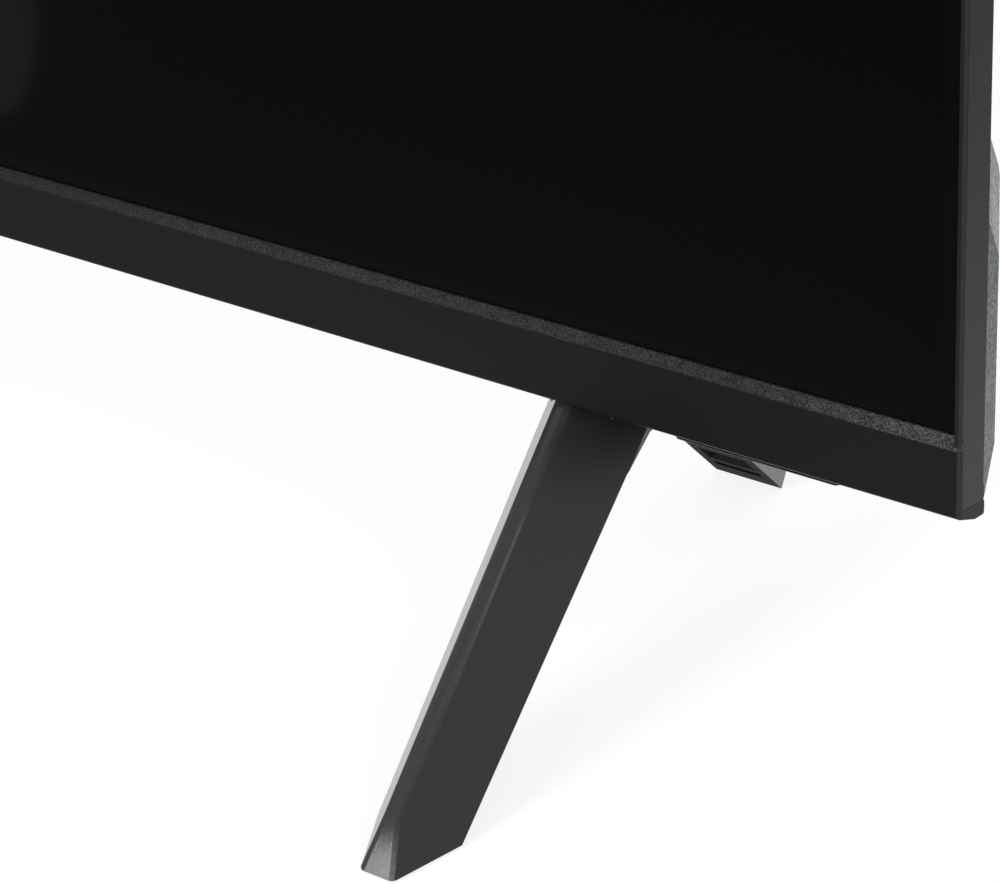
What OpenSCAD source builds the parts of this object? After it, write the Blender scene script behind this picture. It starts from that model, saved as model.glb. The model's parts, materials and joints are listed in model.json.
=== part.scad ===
// Flat screen television of the 32 inch class on two splayed feet.
// Origin: floor level, midway between the two sides and between the front and rear toes.
// X runs to the viewer's right, Y to the rear, Z up. Millimetres.

/* [Body] */
// Width over the side frames
body_w = 722; // [690:1:760]
// Height from the bezel's lower front edge to the top
body_h = 430; // [400:1:460]
// Depth of the side and top frames
frame_depth = 10.1; // [9.8:0.1:11]
// Wall of the side and top frames
frame_wall = 1.2; // [1:0.1:1.5]
// How far the frame's front edge stands behind the bezel's face
frame_set_back = 0.3; // [0.2:0.1:0.6]
// Radius on the frame's outer front edge
frame_edge_r = 0.9; // [0.4:0.1:0.9]
// Width of the flange that takes the rear cover's screws
flange_w = 9; // [8:0.5:10]

/* [Bottom bezel] */
// Height of the bezel from its lower front edge to the screen
bezel_h = 17; // [16:0.5:19]
// Height of the sloping lip below the screen
lip_h = 2.2; // [1.8:0.1:3]
// Depth of the sloping lip
lip_d = 1.3; // [1:0.1:1.5]
// Front wall of the bezel
bezel_wall = 1.7; // [1.6:0.1:1.9]
// Depth of the steep front part of the underside
knee_d = 7; // [6:0.1:7.5]
// Drop of the steep front part of the underside
knee_drop = 4.2; // [3.8:0.1:4.5]
// Depth of the whole underside
under_d = 10.8; // [10.6:0.1:11.4]
// Drop of the whole underside from front to rear
under_drop = 5.3; // [5:0.1:5.6]
// Upright thickness of the underside
under_wall = 2.3; // [2:0.1:2.5]
// Chamfer on the lower front edge
chin_chamfer = 0.3; // [0.2:0.1:0.6]
// Height above the lower edge at which the side frames end in front
parting_z = 1.3; // [0.8:0.1:2]
// Fall of the side frames' lower end for each millimetre towards the rear
parting_slope = 0.37; // [0.3:0.01:0.42]

/* [Panel and sheets] */
// Thickness of the liquid crystal panel
panel_t = 1.3; // [1.1:0.1:1.4]
// How far the panel reaches below the lip
panel_tuck = 11; // [10:0.5:11.5]
// Thickness of the middle frame's ledge and wall
mid_t = 1.2; // [1:0.1:1.4]
// Width of the middle frame's ledge
mid_ledge = 9; // [8:0.5:11]
// How far the middle frame starts above the panel's lower edge
mid_lift = 2.6; // [2.4:0.1:3]
// Thickness of each optical film
film_t = 0.3; // [0.2:0.05:0.4]
// Thickness of the diffuser plate
diffuser_t = 1.5; // [1.2:0.1:1.8]
// Width of a panel driver flex tab
tab_w = 30; // [20:1:40]
// Number of panel driver flex tabs
tab_count = 6; // [4:1:8]
// Length of the panel driver board
driver_l = 460; // [400:5:470]
// Height of the panel driver board
driver_h = 5.6; // [4.8:0.2:5.8]

/* [Backlight] */
// Thickness of the steel tray
steel_t = 0.8; // [0.6:0.1:1]
// Depth of the tray from its rim to its floor
tray_depth = 20; // [18:0.5:22]
// Width of the tray's rim
tray_rim = 11; // [10:0.5:13]
// How far the tray's sloping walls lean in
tray_lean = 24; // [20:1:28]
// Thickness of the white reflector
reflector_t = 0.5; // [0.4:0.1:0.8]
// Rows of light bars
bar_rows = 3; // [2:1:4]
// Lights on each bar
bar_leds = 6; // [5:1:7]
// Width of a light bar
bar_w = 16; // [12:1:18]
// Radius of a light's lens
lens_r = 8; // [6:0.5:9]
// Height of a light's lens
lens_h = 5; // [4:0.5:6]
// Radius at the foot of a diffuser post
post_r = 3; // [2:0.5:4]

/* [Rear cover] */
// Wall of the rear cover
cover_wall = 2.5; // [2:0.1:3]
// Width of the cover's flat rim
rim_w = 10; // [9.5:0.5:12]
// How far the cover's rim stands inside the wings' ends
rim_inset = 1.5; // [1.2:0.1:2]
// Depth of the upper back, from the bezel's face
upper_y = 36; // [34:0.5:38]
// How far the upper back's walls lean in
upper_lean = 22; // [18:1:26]
// Depth of the lower wings
wing_y = 45; // [43:0.5:48]
// Height of the wings' top
wing_top = 66; // [64:1:70]
// Height above which a wing's end wall leans in towards the top
brow_z = 47; // [44:1:50]
// Angle at which a wing's end wall leans in towards the top
brow_tilt = 11; // [8:0.5:14]
// Height below which a wing's end wall tucks in towards the bottom
tuck_z = 7.5; // [6:0.5:10]
// How far a wing's end wall leans in
wing_lean = 12; // [10:0.5:14]
// Angle at which a wing's end wall tucks in towards the bottom
wing_tilt = 10; // [6:0.5:13]
// Depth of the middle hump
hump_y = 76; // [72:0.5:80]
// Width of the middle hump at its root
hump_w = 524; // [500:2:540]
// How far the hump's walls lean in
hump_lean = 22; // [16:1:26]
// Height of the hump's top above the bezel's lower edge
hump_top = 262; // [250:1:280]
// How far the cover's underside hangs below the bezel's lower front edge
cover_drop = 4; // [3.5:0.1:4.3]
// Number of ventilation slots in the hump's shoulder
vent_count = 36; // [20:2:40]
// Spacing of the ventilation slots
vent_pitch = 10; // [8:0.5:11]
// Width of a ventilation slot
vent_w = 3; // [2:0.5:4]

/* [Wall mount] */
// Spacing of the wall mount's threaded holes, both ways
vesa_pitch = 100; // [90:5:110]
// Radius of the threaded holes
vesa_r = 2; // [1.5:0.1:2.5]
// Height of the wall mount's middle above the bezel's lower edge
vesa_z = 150; // [140:1:158]
// Outer radius of a threaded sleeve
sleeve_r = 5; // [4:0.5:6]

/* [Boards] */
// Length of each circuit board
board_w = 150; // [130:2:154]
// Height of the main board and the power board
board_h = 128; // [120:1:132]
// Thickness of a circuit board
board_t = 1.6; // [1.2:0.2:2]
// Gap from the set's middle line to each board
board_gap = 62; // [60:1:66]
// Height of the boards' lower edge above the bezel's lower edge
board_z = 80; // [79:1:84]
// Height of the stand-offs that carry the boards
standoff_h = 9.4; // [8.6:0.2:10]
// Radius of a stand-off
standoff_r = 3; // [2.5:0.5:4]

/* [Feet] */
// Height of the bezel's lower front edge above the floor
foot_drop = 65; // [62:0.5:70]
// Distance of a foot's middle from the set's side
foot_inset = 84.7; // [80:0.1:95]
// Reach of the front toe in front of the bezel's face
toe_front = 72; // [66:0.5:78]
// Reach of the rear toe behind the bezel's face
toe_rear = 88; // [84:0.5:93]
// Slope of the front leg's ridge
front_slope = 38.4; // [37:0.2:40]
// Slope of the rear leg's ridge
rear_slope = 50; // [48:0.5:52]
// Width of the narrow strip along a leg's ridge
strip_w = 3.1; // [2.6:0.1:3.6]
// Angle at which the front leg's flanks spread from the ridge
flank_angle = 32.6; // [30:0.2:35]
// Angle at which the rear leg's flanks spread from the ridge
rear_flank = 25; // [22:0.5:28]
// Widest part of the foot
foot_w = 22.5; // [21:0.5:24]
// Length of a toe on the floor
toe_l = 14.5; // [13:0.1:16]
// Slope of the facet on the tip of the front toe
toe_slope = 55; // [52:1:60]
// Slope of the facet on the tip of the rear toe
rear_toe_slope = 70; // [66:1:76]
// How far the front ridge would run past the toe facet on the floor
nose_cut = 5.9; // [5:0.1:6.4]
// How far the rear ridge would run past the toe facet on the floor
rear_cut = 3.9; // [3:0.1:4.5]
// Upright gap between the arch's top and the bezel's lower edge
arch_gap = 13; // [12:0.5:14]
// Depth of the slanting corner in front of the arch's top
arch_corner = 9; // [7:0.5:10]
// How much flatter the front leg's lower edge runs than its ridge, as a share
rim_share = 0.94; // [0.92:0.01:0.97]
// Wall of the foot
foot_wall = 2.2; // [1.8:0.1:2.6]
// Thickness of a rib inside a leg
rib_t = 1.6; // [1.2:0.2:2]
// Spacing of the ribs along a leg
rib_pitch = 9; // [8:0.5:12]
// Width of the neck that enters the body
neck_w = 14; // [13:0.5:15]
// Front of the neck, behind the bezel's face
neck_front = 8.5; // [8:0.1:9]
// Length of the neck from front to rear
neck_l = 26.5; // [25:0.5:27]
// Height of the neck's top above the bezel's lower edge
neck_top = 6; // [5.4:0.1:6.3]
// Thickness of the neck's top, under which the foot screws bear
neck_plate = 3; // [2.4:0.1:3.4]
// Radius of a foot screw's shank
foot_screw_r = 2; // [1.5:0.1:2.2]
// Height of the toe's underside above the floor
pad_proud = 0.6; // [0.4:0.1:1]
// Depth of the seats for the rubber pads
pad_seat = 1.2; // [0.8:0.1:2]
// Thickness of the steel foot brackets
bracket_t = 1.5; // [1.2:0.1:1.8]
// Width of a foot bracket
bracket_w = 30; // [26:1:34]

/* [Sensor pod] */
// Length of the pod under the bezel
pod_l = 36; // [34:1:40]
// Distance of the pod's outer end from the set's side
pod_inset = 27.5; // [25:0.5:30]
// Front of the pod, behind the bezel's face
pod_front = 8.6; // [8.2:0.1:9]
// Rear of the pod, behind the bezel's face
pod_rear = 24; // [23.5:0.5:27]
// How far the pod hangs below the bezel's lower front edge
pod_drop = 8; // [7.9:0.1:9]
// Radius of the power button
button_r = 3.2; // [2.5:0.1:3.6]
// How far the power button stands out of the pod
button_proud = 0.9; // [0.8:0.1:1.4]

/* [Fasteners and fits] */
// Radius of the cover and board screws' shanks
screw_r = 1.4; // [1.1:0.1:1.5]
// Clearance between fitted pieces
fit = 0.3; // [0.2:0.05:0.4]
// Gap left between faces that lie on each other
seat = 0.1; // [0.05:0.05:0.15]

/* [Hidden] */
$fn = 48;
eps = 0.01;
over = 1;
// The bezel's face, so that the toes reach equally far from the origin
tip_front = toe_front - pad_proud / tan(toe_slope);
tip_rear = toe_rear - pad_proud / tan(rear_toe_slope);
face_y = (tip_front - tip_rear) / 2;
half_w = body_w / 2;

// Depths of the layers behind the bezel's face
panel_y = bezel_wall + seat / 2;
ledge_y = panel_y + panel_t + fit;
sheet_y = ledge_y + mid_t + seat;
film2_y = sheet_y + film_t + seat / 2;
plate_y = film2_y + film_t + seat / 2;
tray_y = plate_y + diffuser_t + seat;
floor_y = tray_y + tray_depth;
back_y = floor_y + steel_t;
board_y = back_y + standoff_h;
board_back = board_y + board_t;

// Outlines of the layers: half width, lower and upper edge
panel_x = half_w - frame_wall - 2 * fit;
panel_low = bezel_h - panel_tuck;
panel_top = body_h - frame_wall - 2 * fit;
mid_x = panel_x - fit;
mid_low = panel_low + mid_lift;
mid_top = panel_top - fit;
sheet_x = mid_x - mid_t - 2 * fit;
sheet_low = mid_low + mid_t + 2 * fit;
sheet_top = mid_top - mid_t - 2 * fit;
mouth_x = sheet_x - tray_rim;
mouth_low = sheet_low + tray_rim;
mouth_top = sheet_top - tray_rim;

// Rear cover
cover_x = half_w - fit;
cover_low = -cover_drop;
cover_top = body_h - fit;
cover_y = frame_depth + seat / 2;
rim_y = cover_y + cover_wall;
hump_x = hump_w / 2;
bay_x = board_gap + board_w + 10;
bay_y = upper_y + 2.4;
bay_low = board_z + 4;
bay_top = board_z + board_h - 2;
inlet_top = bay_low + 46;

// Feet
foot_x = half_w - foot_inset;
arch_z = foot_drop - arch_gap;
neck_rear = neck_front + neck_l;
front_root = -toe_front - nose_cut;
rear_root = toe_rear + rear_cut;
front_nose = nose_cut * tan(front_slope) * tan(toe_slope) / (tan(toe_slope) - tan(front_slope));
rear_nose = rear_cut * tan(rear_slope) * tan(rear_toe_slope) / (tan(rear_toe_slope) - tan(rear_slope));
front_heel = -toe_front + toe_l;
rear_heel = toe_rear - toe_l;
head_r = 1.9 * foot_screw_r;
head_h = 1.3 * foot_screw_r;
screw_front = neck_front + foot_wall + head_r + 0.5;
screw_rear = screw_front + 2 * head_r + 0.6;
plate_z = neck_top + seat;

// Sensor pod
pod_out = half_w - pod_inset;
pod_in = pod_out - pod_l;
button_x = (pod_in + pod_out) / 2;
button_y = (under_d + pod_rear) / 2;
pod_floor = 1.4;
button_flange = button_r + 0.9;

// Height of the body's underside, which is steep to the knee and flatter behind it
function under_z(y) = y < knee_d
    ? -knee_drop * y / knee_d
    : -knee_drop - (under_drop - knee_drop) * (y - knee_d) / (under_d - knee_d);
function ridge_front(y) = (y - front_root) * tan(front_slope);
function ridge_rear(y) = (rear_root - y) * tan(rear_slope);

module in_body() {
    translate([0, face_y, foot_drop])
        children();
}

module box(low, high) {
    translate(low)
        cube(high - low);
}

// Runs a Y-Z outline along X
module along_x(length, middle = 0) {
    translate([middle, 0, 0])
        rotate([90, 0, 90])
            linear_extrude(length, center = true)
                children();
}

// Runs an X-Z outline along Y from one depth to another
module along_y(from, to) {
    translate([0, to, 0])
        rotate([90, 0, 0])
            linear_extrude(to - from)
                children();
}

// A rod along Y
module rod_y(x, z, from, to, r) {
    translate([x, from, z])
        rotate([-90, 0, 0])
            cylinder(h = to - from, r = r);
}

module both_sides() {
    children();
    mirror([1, 0, 0])
        children();
}

// A block whose front and rear outlines differ, with flat sloping sides
module tapered(y0, y1, x0, x1, low0, low1, top0, top1) {
    intersection() {
        translate([0, 0, low0 - body_h])
            linear_extrude(3 * body_h)
                polygon([[-x0, y0], [x0, y0], [x1, y1], [-x1, y1]]);
        along_x(2 * body_w)
            polygon([[y0, low0], [y0, top0], [y1, top1], [y1, low1]]);
    }
}

// Screw places on the cover's rim: each is [x, z]
rim_line_x = cover_x - flange_w / 2 - 0.6;
rim_line_z = cover_top - flange_w / 2 - 0.6;
rim_spots = concat(
    [for (side = [-1, 1]) for (i = [0 : 2]) [side * rim_line_x, 110 + i * (body_h - 150) / 2]],
    [for (i = [-2 : 2]) [i * 0.22 * body_w, rim_line_z]]
);

module frame_holes() {
    for (spot = rim_spots)
        rod_y(spot[0], spot[1], 0, frame_depth + over, screw_r + fit);
}

// Frames round the screen

module parting_cut() {
    start = frame_set_back + frame_edge_r;
    end = frame_depth + 3;
    along_x(3 * body_w)
        polygon([
            [-over, parting_z],
            [start, parting_z],
            [end, parting_z - parting_slope * (end - start)],
            [end, -20],
            [-over, -20]
        ]);
}

module side_outline() {
    translate([half_w - frame_wall, frame_set_back + frame_edge_r])
        square([frame_wall, frame_depth - frame_set_back - frame_edge_r]);
    translate([half_w - frame_wall, frame_set_back])
        square([frame_wall - frame_edge_r, frame_edge_r + eps]);
    intersection() {
        translate([half_w - frame_edge_r, frame_set_back + frame_edge_r])
            circle(frame_edge_r);
        translate([half_w - frame_edge_r - eps, frame_set_back])
            square([frame_edge_r + eps, frame_edge_r + eps]);
    }
    translate([half_w - flange_w, frame_depth - frame_wall])
        square([flange_w, frame_wall]);
}

module side_frame() {
    difference() {
        translate([0, 0, under_z(frame_depth)])
            linear_extrude(body_h - frame_wall - under_z(frame_depth))
                side_outline();
        parting_cut();
        frame_holes();
        // The bezel's end wraps round the front here
        along_x(3 * body_w)
            polygon([
                [-over, -20],
                [lip_d + seat, -20],
                [lip_d + seat, bezel_h + 2 * seat],
                [0, bezel_h - lip_h + 2 * seat],
                [-over, bezel_h - lip_h + 2 * seat]
            ]);
        // The top frame's flange lies in this corner
        box([half_w - flange_w - over, frame_depth - frame_wall - eps, body_h - flange_w],
            [half_w - frame_wall, frame_depth + over, body_h]);
        // The flange ends above the bezel's underside
        box([half_w - flange_w - over, frame_depth - frame_wall - eps, -20],
            [half_w - frame_wall, frame_depth + over, parting_z]);
    }
}

module right_frame() {
    color("dimgray")
        in_body()
            side_frame();
}

module left_frame() {
    color("dimgray")
        in_body()
            mirror([1, 0, 0])
                side_frame();
}

module top_frame() {
    color("dimgray")
        in_body()
            difference() {
                union() {
                    along_x(body_w) {
                        translate([frame_set_back + frame_edge_r, body_h - frame_wall])
                            square([frame_depth - frame_set_back - frame_edge_r, frame_wall]);
                        translate([frame_set_back, body_h - frame_wall])
                            square([frame_edge_r + eps, frame_wall - frame_edge_r]);
                        intersection() {
                            translate([frame_set_back + frame_edge_r, body_h - frame_edge_r])
                                circle(frame_edge_r);
                            translate([frame_set_back, body_h - frame_edge_r - eps])
                                square([frame_edge_r + eps, frame_edge_r + eps]);
                        }
                    }
                    box([-half_w + frame_wall, frame_depth - frame_wall, body_h - flange_w],
                        [half_w - frame_wall, frame_depth, body_h - frame_wall + eps]);
                }
                frame_holes();
            }
}

module neck_way() {
    side = neck_w / 2 + fit;
    box([foot_x - side, neck_front - fit, -20], [foot_x + side, neck_rear + fit, bezel_h / 2]);
}

// The waste outside the bezel's rounded front corner
module round_corner() {
    translate([half_w - frame_edge_r, frame_edge_r, -20])
        linear_extrude(20 + bezel_h + over)
            difference() {
                translate([0, -frame_edge_r - over])
                    square([frame_edge_r + over, frame_edge_r + over]);
                circle(frame_edge_r);
            }
}

module bottom_bezel() {
    color([0.15, 0.15, 0.16])
        in_body()
            difference() {
                union() {
                    along_x(body_w)
                        polygon([
                            [0, chin_chamfer],
                            [0, bezel_h - lip_h],
                            [lip_d, bezel_h],
                            [bezel_wall, bezel_h],
                            [bezel_wall, under_z(bezel_wall) + under_wall],
                            [knee_d, under_z(knee_d) + under_wall],
                            [under_d, under_z(under_d) + under_wall],
                            [under_d, under_z(under_d) + 2 * chin_chamfer],
                            [under_d - chin_chamfer, under_z(under_d)],
                            [knee_d, under_z(knee_d)],
                            [2 * chin_chamfer, under_z(2 * chin_chamfer)]
                        ]);
                    // Short gussets stiffen the chin outside the driver board
                    for (side = [-1, 1])
                        for (x = [driver_l / 2 + 8, foot_x - bracket_w / 2 - 4, half_w - 14])
                            along_x(mid_t, side * x)
                                polygon([
                                    [bezel_wall - eps, panel_low - fit],
                                    [bezel_wall - eps, under_z(bezel_wall) + eps],
                                    [knee_d, under_z(knee_d) + eps],
                                    [knee_d, under_z(knee_d) + under_wall]
                                ]);
                    // The ends are closed up to the side frames
                    both_sides()
                        along_x(frame_wall, half_w - frame_wall / 2)
                            polygon([
                                [bezel_wall - eps, parting_z],
                                [under_d, parting_z],
                                [under_d, under_z(under_d) + 2 * chin_chamfer],
                                [under_d - chin_chamfer, under_z(under_d) + eps],
                                [knee_d, under_z(knee_d) + eps],
                                [bezel_wall - eps, under_z(bezel_wall) + eps]
                            ]);
                }
                // The side frames' ends stand in these corners
                both_sides()
                    difference() {
                        box([half_w - frame_wall - seat, lip_d, -20],
                            [half_w + over, under_d + over, bezel_h + over]);
                        translate([0, 0, -seat])
                            parting_cut();
                    }
                both_sides()
                    round_corner();
                both_sides()
                    neck_way();
            }
}

// Panel, films and backlight

module sheet(x, low, top, y, t) {
    box([-x, y, low], [x, y + t, top]);
}

module lcd_panel() {
    color([0.05, 0.05, 0.055])
        in_body()
            sheet(panel_x, panel_low, panel_top, panel_y, panel_t);
}

driver_t = 1;
driver_lap = 0.5;
driver_low = panel_low - driver_h + driver_lap;
driver_y = panel_y + panel_t + 2 * seat + film_t;
socket_t = 1;
socket_edge = 0.6;

module driver_board() {
    back = driver_y + driver_t;
    color("darkgreen")
        in_body() {
            box([-driver_l / 2, driver_y, driver_low], [driver_l / 2, back, driver_low + driver_h]);
            box([-plug_out, back - eps, driver_low + socket_edge],
                [-plug_in, back + socket_t, driver_low + driver_h - socket_edge]);
        }
}

module driver_tabs() {
    pitch = (driver_l - tab_w) / (tab_count - 1);
    y = panel_y + panel_t + seat;
    color("peru")
        in_body()
            for (i = [0 : tab_count - 1])
                translate([(i - (tab_count - 1) / 2) * pitch, 0, 0])
                    box([-tab_w / 2, y, panel_low - 3.5], [tab_w / 2, y + film_t, mid_low - fit]);
}

module middle_frame() {
    color([0.12, 0.12, 0.12])
        in_body()
            difference() {
                sheet(mid_x, mid_low, mid_top, ledge_y, tray_y + steel_t - ledge_y);
                sheet(mid_x - mid_ledge, mid_low + mid_ledge, mid_top - mid_ledge,
                    ledge_y - over, 2 * mid_t + over);
                sheet(mid_x - mid_t, mid_low + mid_t, mid_top - mid_t, ledge_y + mid_t, tray_depth);
            }
}

module prism_film() {
    color("ghostwhite")
        in_body()
            sheet(sheet_x, sheet_low, sheet_top, sheet_y, film_t);
}

module diffuser_film() {
    color("white")
        in_body()
            sheet(sheet_x, sheet_low, sheet_top, film2_y, film_t);
}

module diffuser_plate() {
    color("whitesmoke")
        in_body()
            sheet(sheet_x, sheet_low, sheet_top, plate_y, diffuser_t);
}

// The hollow of the tray, drawn smaller by a margin
module tray_hollow(margin, to) {
    lean = tray_lean * (to - tray_y) / tray_depth;
    tapered(tray_y - eps, to, mouth_x - margin, mouth_x - margin - lean,
        mouth_low + margin, mouth_low + margin + lean, mouth_top - margin, mouth_top - margin - lean);
}

bar_pitch_z = (mouth_top - mouth_low) / bar_rows;
bar_pitch_x = 2 * (mouth_x - tray_lean) / bar_leds;
bar_zs = [for (i = [0 : bar_rows - 1]) mouth_low + (i + 0.5) * bar_pitch_z];
led_xs = [for (i = [0 : bar_leds - 1]) (i - (bar_leds - 1) / 2) * bar_pitch_x];
post_xs = [for (i = [-1 : 1]) i * 2 * bar_pitch_x + bar_pitch_x * 0.5 * (bar_leds % 2)];
post_zs = [for (i = [0 : bar_rows - 2]) (bar_zs[i] + bar_zs[i + 1]) / 2];
bar_t = 1;

module reflector_sheet() {
    face = floor_y - bar_t - fit;
    color("white")
        in_body()
            difference() {
                tray_hollow(fit, face);
                translate([0, -eps, 0])
                    tray_hollow(fit + reflector_t * 1.2, face - reflector_t);
                for (z = bar_zs)
                    for (x = led_xs)
                        rod_y(x, z, face - 2 * reflector_t, face + over, lens_r + 2 * fit);
                for (z = post_zs)
                    for (x = post_xs)
                        rod_y(x, z, face - 2 * reflector_t, face + over, post_r + fit);
            }
}

module light_bars() {
    color("beige")
        in_body()
            for (z = bar_zs) {
                box([-mouth_x + tray_lean + 6, floor_y - bar_t, z - bar_w / 2],
                    [mouth_x - tray_lean - 6, floor_y, z + bar_w / 2]);
                for (x = led_xs)
                    box([x - 1.5, floor_y - bar_t - 0.8, z - 1.5], [x + 1.5, floor_y - bar_t + eps, z + 1.5]);
            }
}

module light_lenses() {
    color([0.9, 0.93, 0.95, 0.6])
        in_body()
            for (z = bar_zs)
                for (x = led_xs)
                    translate([x, floor_y - bar_t, z])
                        rotate([90, 0, 0])
                            difference() {
                                intersection() {
                                    cylinder(h = lens_h, r = lens_r);
                                    translate([0, 0, lens_h - lens_r * 1.5])
                                        sphere(lens_r * 1.5);
                                }
                                translate([0, 0, -over])
                                    cylinder(h = over + 1.4, r = 2.6);
                            }
}

module diffuser_posts() {
    color("white")
        in_body()
            for (z = post_zs)
                for (x = post_xs)
                    translate([x, floor_y, z])
                        rotate([90, 0, 0])
                            cylinder(h = floor_y - plate_y - diffuser_t - seat, r1 = post_r, r2 = 0.8);
}

// Stand-off places: each is [x, z]
board_edge = 6;
board_spots = [
    for (side = [-1, 1])
        for (x = [board_gap + board_edge, board_gap + board_w - board_edge])
            for (z = [board_z + board_edge, board_z + board_h - board_edge])
                [side * x, z]
];
vesa_spots = [
    for (x = [-1, 1])
        for (z = [-1, 1])
            [x * vesa_pitch / 2, vesa_z + z * vesa_pitch / 2]
];

// The tray is pressed from sheet, with stiffening swages across its back
module back_tray() {
    color("slategray")
        in_body() {
            difference() {
                union() {
                    sheet(sheet_x, sheet_low, sheet_top, tray_y, steel_t);
                    tray_hollow(-steel_t, back_y);
                    for (x = [-0.62, -0.31, 0, 0.31, 0.62])
                        translate([x * mouth_x, 0, 0])
                            tapered(back_y - eps, back_y + 2.2, 7, 4, hump_top + 24, hump_top + 27,
                                mouth_top - tray_lean - 12, mouth_top - tray_lean - 15);
                    for (spot = board_spots)
                        rod_y(spot[0], spot[1], back_y - eps, board_y, standoff_r);
                }
                tray_hollow(0, floor_y);
                for (spot = board_spots)
                    rod_y(spot[0], spot[1], back_y + 1, board_y + over, screw_r + fit / 2);
            }
        }
}

// Boards and what sits on them

module board_plate(side) {
    difference() {
        box([min(side * board_gap, side * (board_gap + board_w)), board_y, board_z],
            [max(side * board_gap, side * (board_gap + board_w)), board_back, board_z + board_h]);
        for (spot = board_spots)
            rod_y(spot[0], spot[1], board_y - over, board_back + over, screw_r + fit);
    }
}

chip_x = -board_gap - board_w * 0.42;
chip_z = board_z + board_h * 0.55;
chip_w = 24;
chip_h = 2;
plug_in = board_gap + 16;
plug_l = 24;
plug_h = 5;
plug_t = 3;
plug_lift = 1;
plug_out = plug_in + plug_l;
tuner_x = chip_x + 34;
tuner_z = chip_z - 40;
tuner_w = 18;
tuner_h = 28;
tuner_t = 4;
filter_x = board_gap + 96;
filter_z = board_z + 70;
filter_w = 22;
filter_t = 18;
output_x = board_gap + 14;
output_w = 20;
output_h = 7;
output_t = 8;
output_lift = 2;

module main_board() {
    color("darkgreen")
        in_body() {
            board_plate(-1);
            // Processor, tuner screen and ribbon plug
            box([chip_x - chip_w / 2, board_back - eps, chip_z - chip_w / 2],
                [chip_x + chip_w / 2, board_back + chip_h, chip_z + chip_w / 2]);
            box([tuner_x, board_back - eps, tuner_z],
                [tuner_x + tuner_w, board_back + tuner_t, tuner_z + tuner_h]);
            box([-plug_out, board_back - eps, board_z + plug_lift],
                [-plug_in, board_back + plug_t, board_z + plug_lift + plug_h]);
        }
}

module power_board() {
    color("darkolivegreen")
        in_body() {
            board_plate(1);
            // Input filter and output plug
            translate([filter_x, board_back - eps, filter_z])
                cube([filter_w, filter_t, filter_t]);
            translate([output_x, board_back - eps, board_z + output_lift])
                cube([output_w, output_t, output_h]);
        }
}

ribbon_gap = 2;
ribbon_drop = 6;
ribbon_foot = 16;

module panel_ribbon() {
    run = back_y + ribbon_gap;
    top = board_back + (plug_t - film_t) / 2;
    low = driver_low + driver_h / 2;
    start = driver_y + driver_t + socket_t + seat / 2;
    t = film_t;
    end = board_z + plug_lift - seat;
    color("gainsboro")
        in_body()
            along_x(plug_l - 4, -(plug_in + plug_out) / 2)
                polygon([
                    [top, end],
                    [top + t, end],
                    [top + t, board_z - ribbon_drop],
                    [run + t, board_z - ribbon_foot],
                    [run + t, low - t],
                    [start, low - t],
                    [start, low],
                    [run, low],
                    [run, board_z - ribbon_foot + t],
                    [top, board_z - ribbon_drop + t]
                ]);
}

// A metal shell on the board's edge, open to the left bay
module side_shell(z, w, h, deep, skin) {
    difference() {
        box([-bay_x, board_back + seat / 2, z - w / 2], [-bay_x + deep, board_back + h, z + w / 2]);
        box([-bay_x - over, board_back + skin, z - w / 2 + skin],
            [-bay_x + deep - skin, board_back + h - skin, z + w / 2 - skin]);
    }
}

// The flat contact tongue in the middle of a shell
module side_tongue(z, w, h, deep, skin) {
    middle = board_back + h / 2;
    box([-bay_x + 1, middle - 0.8, z - w / 3], [-bay_x + deep - skin + eps, middle + 0.8, z + w / 3]);
}

shell_deep = 13;
shell_skin = 0.6;
hdmi_w = 15;
hdmi_h = 6;
usb_w = 14;
usb_h = 7;
net_w = 16;
net_h = 13.5;
jack_r = 3.4;
barrel_r = 4.7;
antenna_z = bay_low + 10;
net_z = antenna_z + barrel_r + net_w / 2 + 4;
hdmi_z1 = net_z + net_w / 2 + hdmi_w / 2 + 5;
hdmi_z2 = hdmi_z1 + hdmi_w + 5;
usb_z = hdmi_z2 + hdmi_w / 2 + usb_w / 2 + 5;
jack_z1 = usb_z + usb_w / 2 + jack_r + 5;
jack_z2 = jack_z1 + 2 * jack_r + 5;
round_y = board_back + 7;

module hdmi_sockets() {
    color("silver")
        in_body()
            for (z = [hdmi_z1, hdmi_z2]) {
                side_shell(z, hdmi_w, hdmi_h, shell_deep, shell_skin);
                side_tongue(z, hdmi_w, hdmi_h, shell_deep, shell_skin);
            }
}

module usb_socket() {
    color("silver")
        in_body() {
            side_shell(usb_z, usb_w, usb_h, shell_deep, shell_skin);
            side_tongue(usb_z, usb_w, usb_h, shell_deep, shell_skin);
        }
}

module network_socket() {
    color("silver")
        in_body()
            side_shell(net_z, net_w, net_h, shell_deep, 2 * shell_skin);
}

module rod_x(y, z, from, to, r) {
    translate([from, y, z])
        rotate([0, 90, 0])
            cylinder(h = to - from, r = r);
}

module antenna_socket() {
    color("silver")
        in_body()
            difference() {
                union() {
                    box([-bay_x + cover_wall + fit, board_back + seat / 2, antenna_z - 7],
                        [-bay_x + shell_deep, board_back + 14, antenna_z + 7]);
                    rod_x(round_y, antenna_z, -bay_x - 8, -bay_x + shell_deep - 2, barrel_r);
                }
                rod_x(round_y, antenna_z, -bay_x - 8 - over, -bay_x + 2, 1.2);
            }
}

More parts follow.
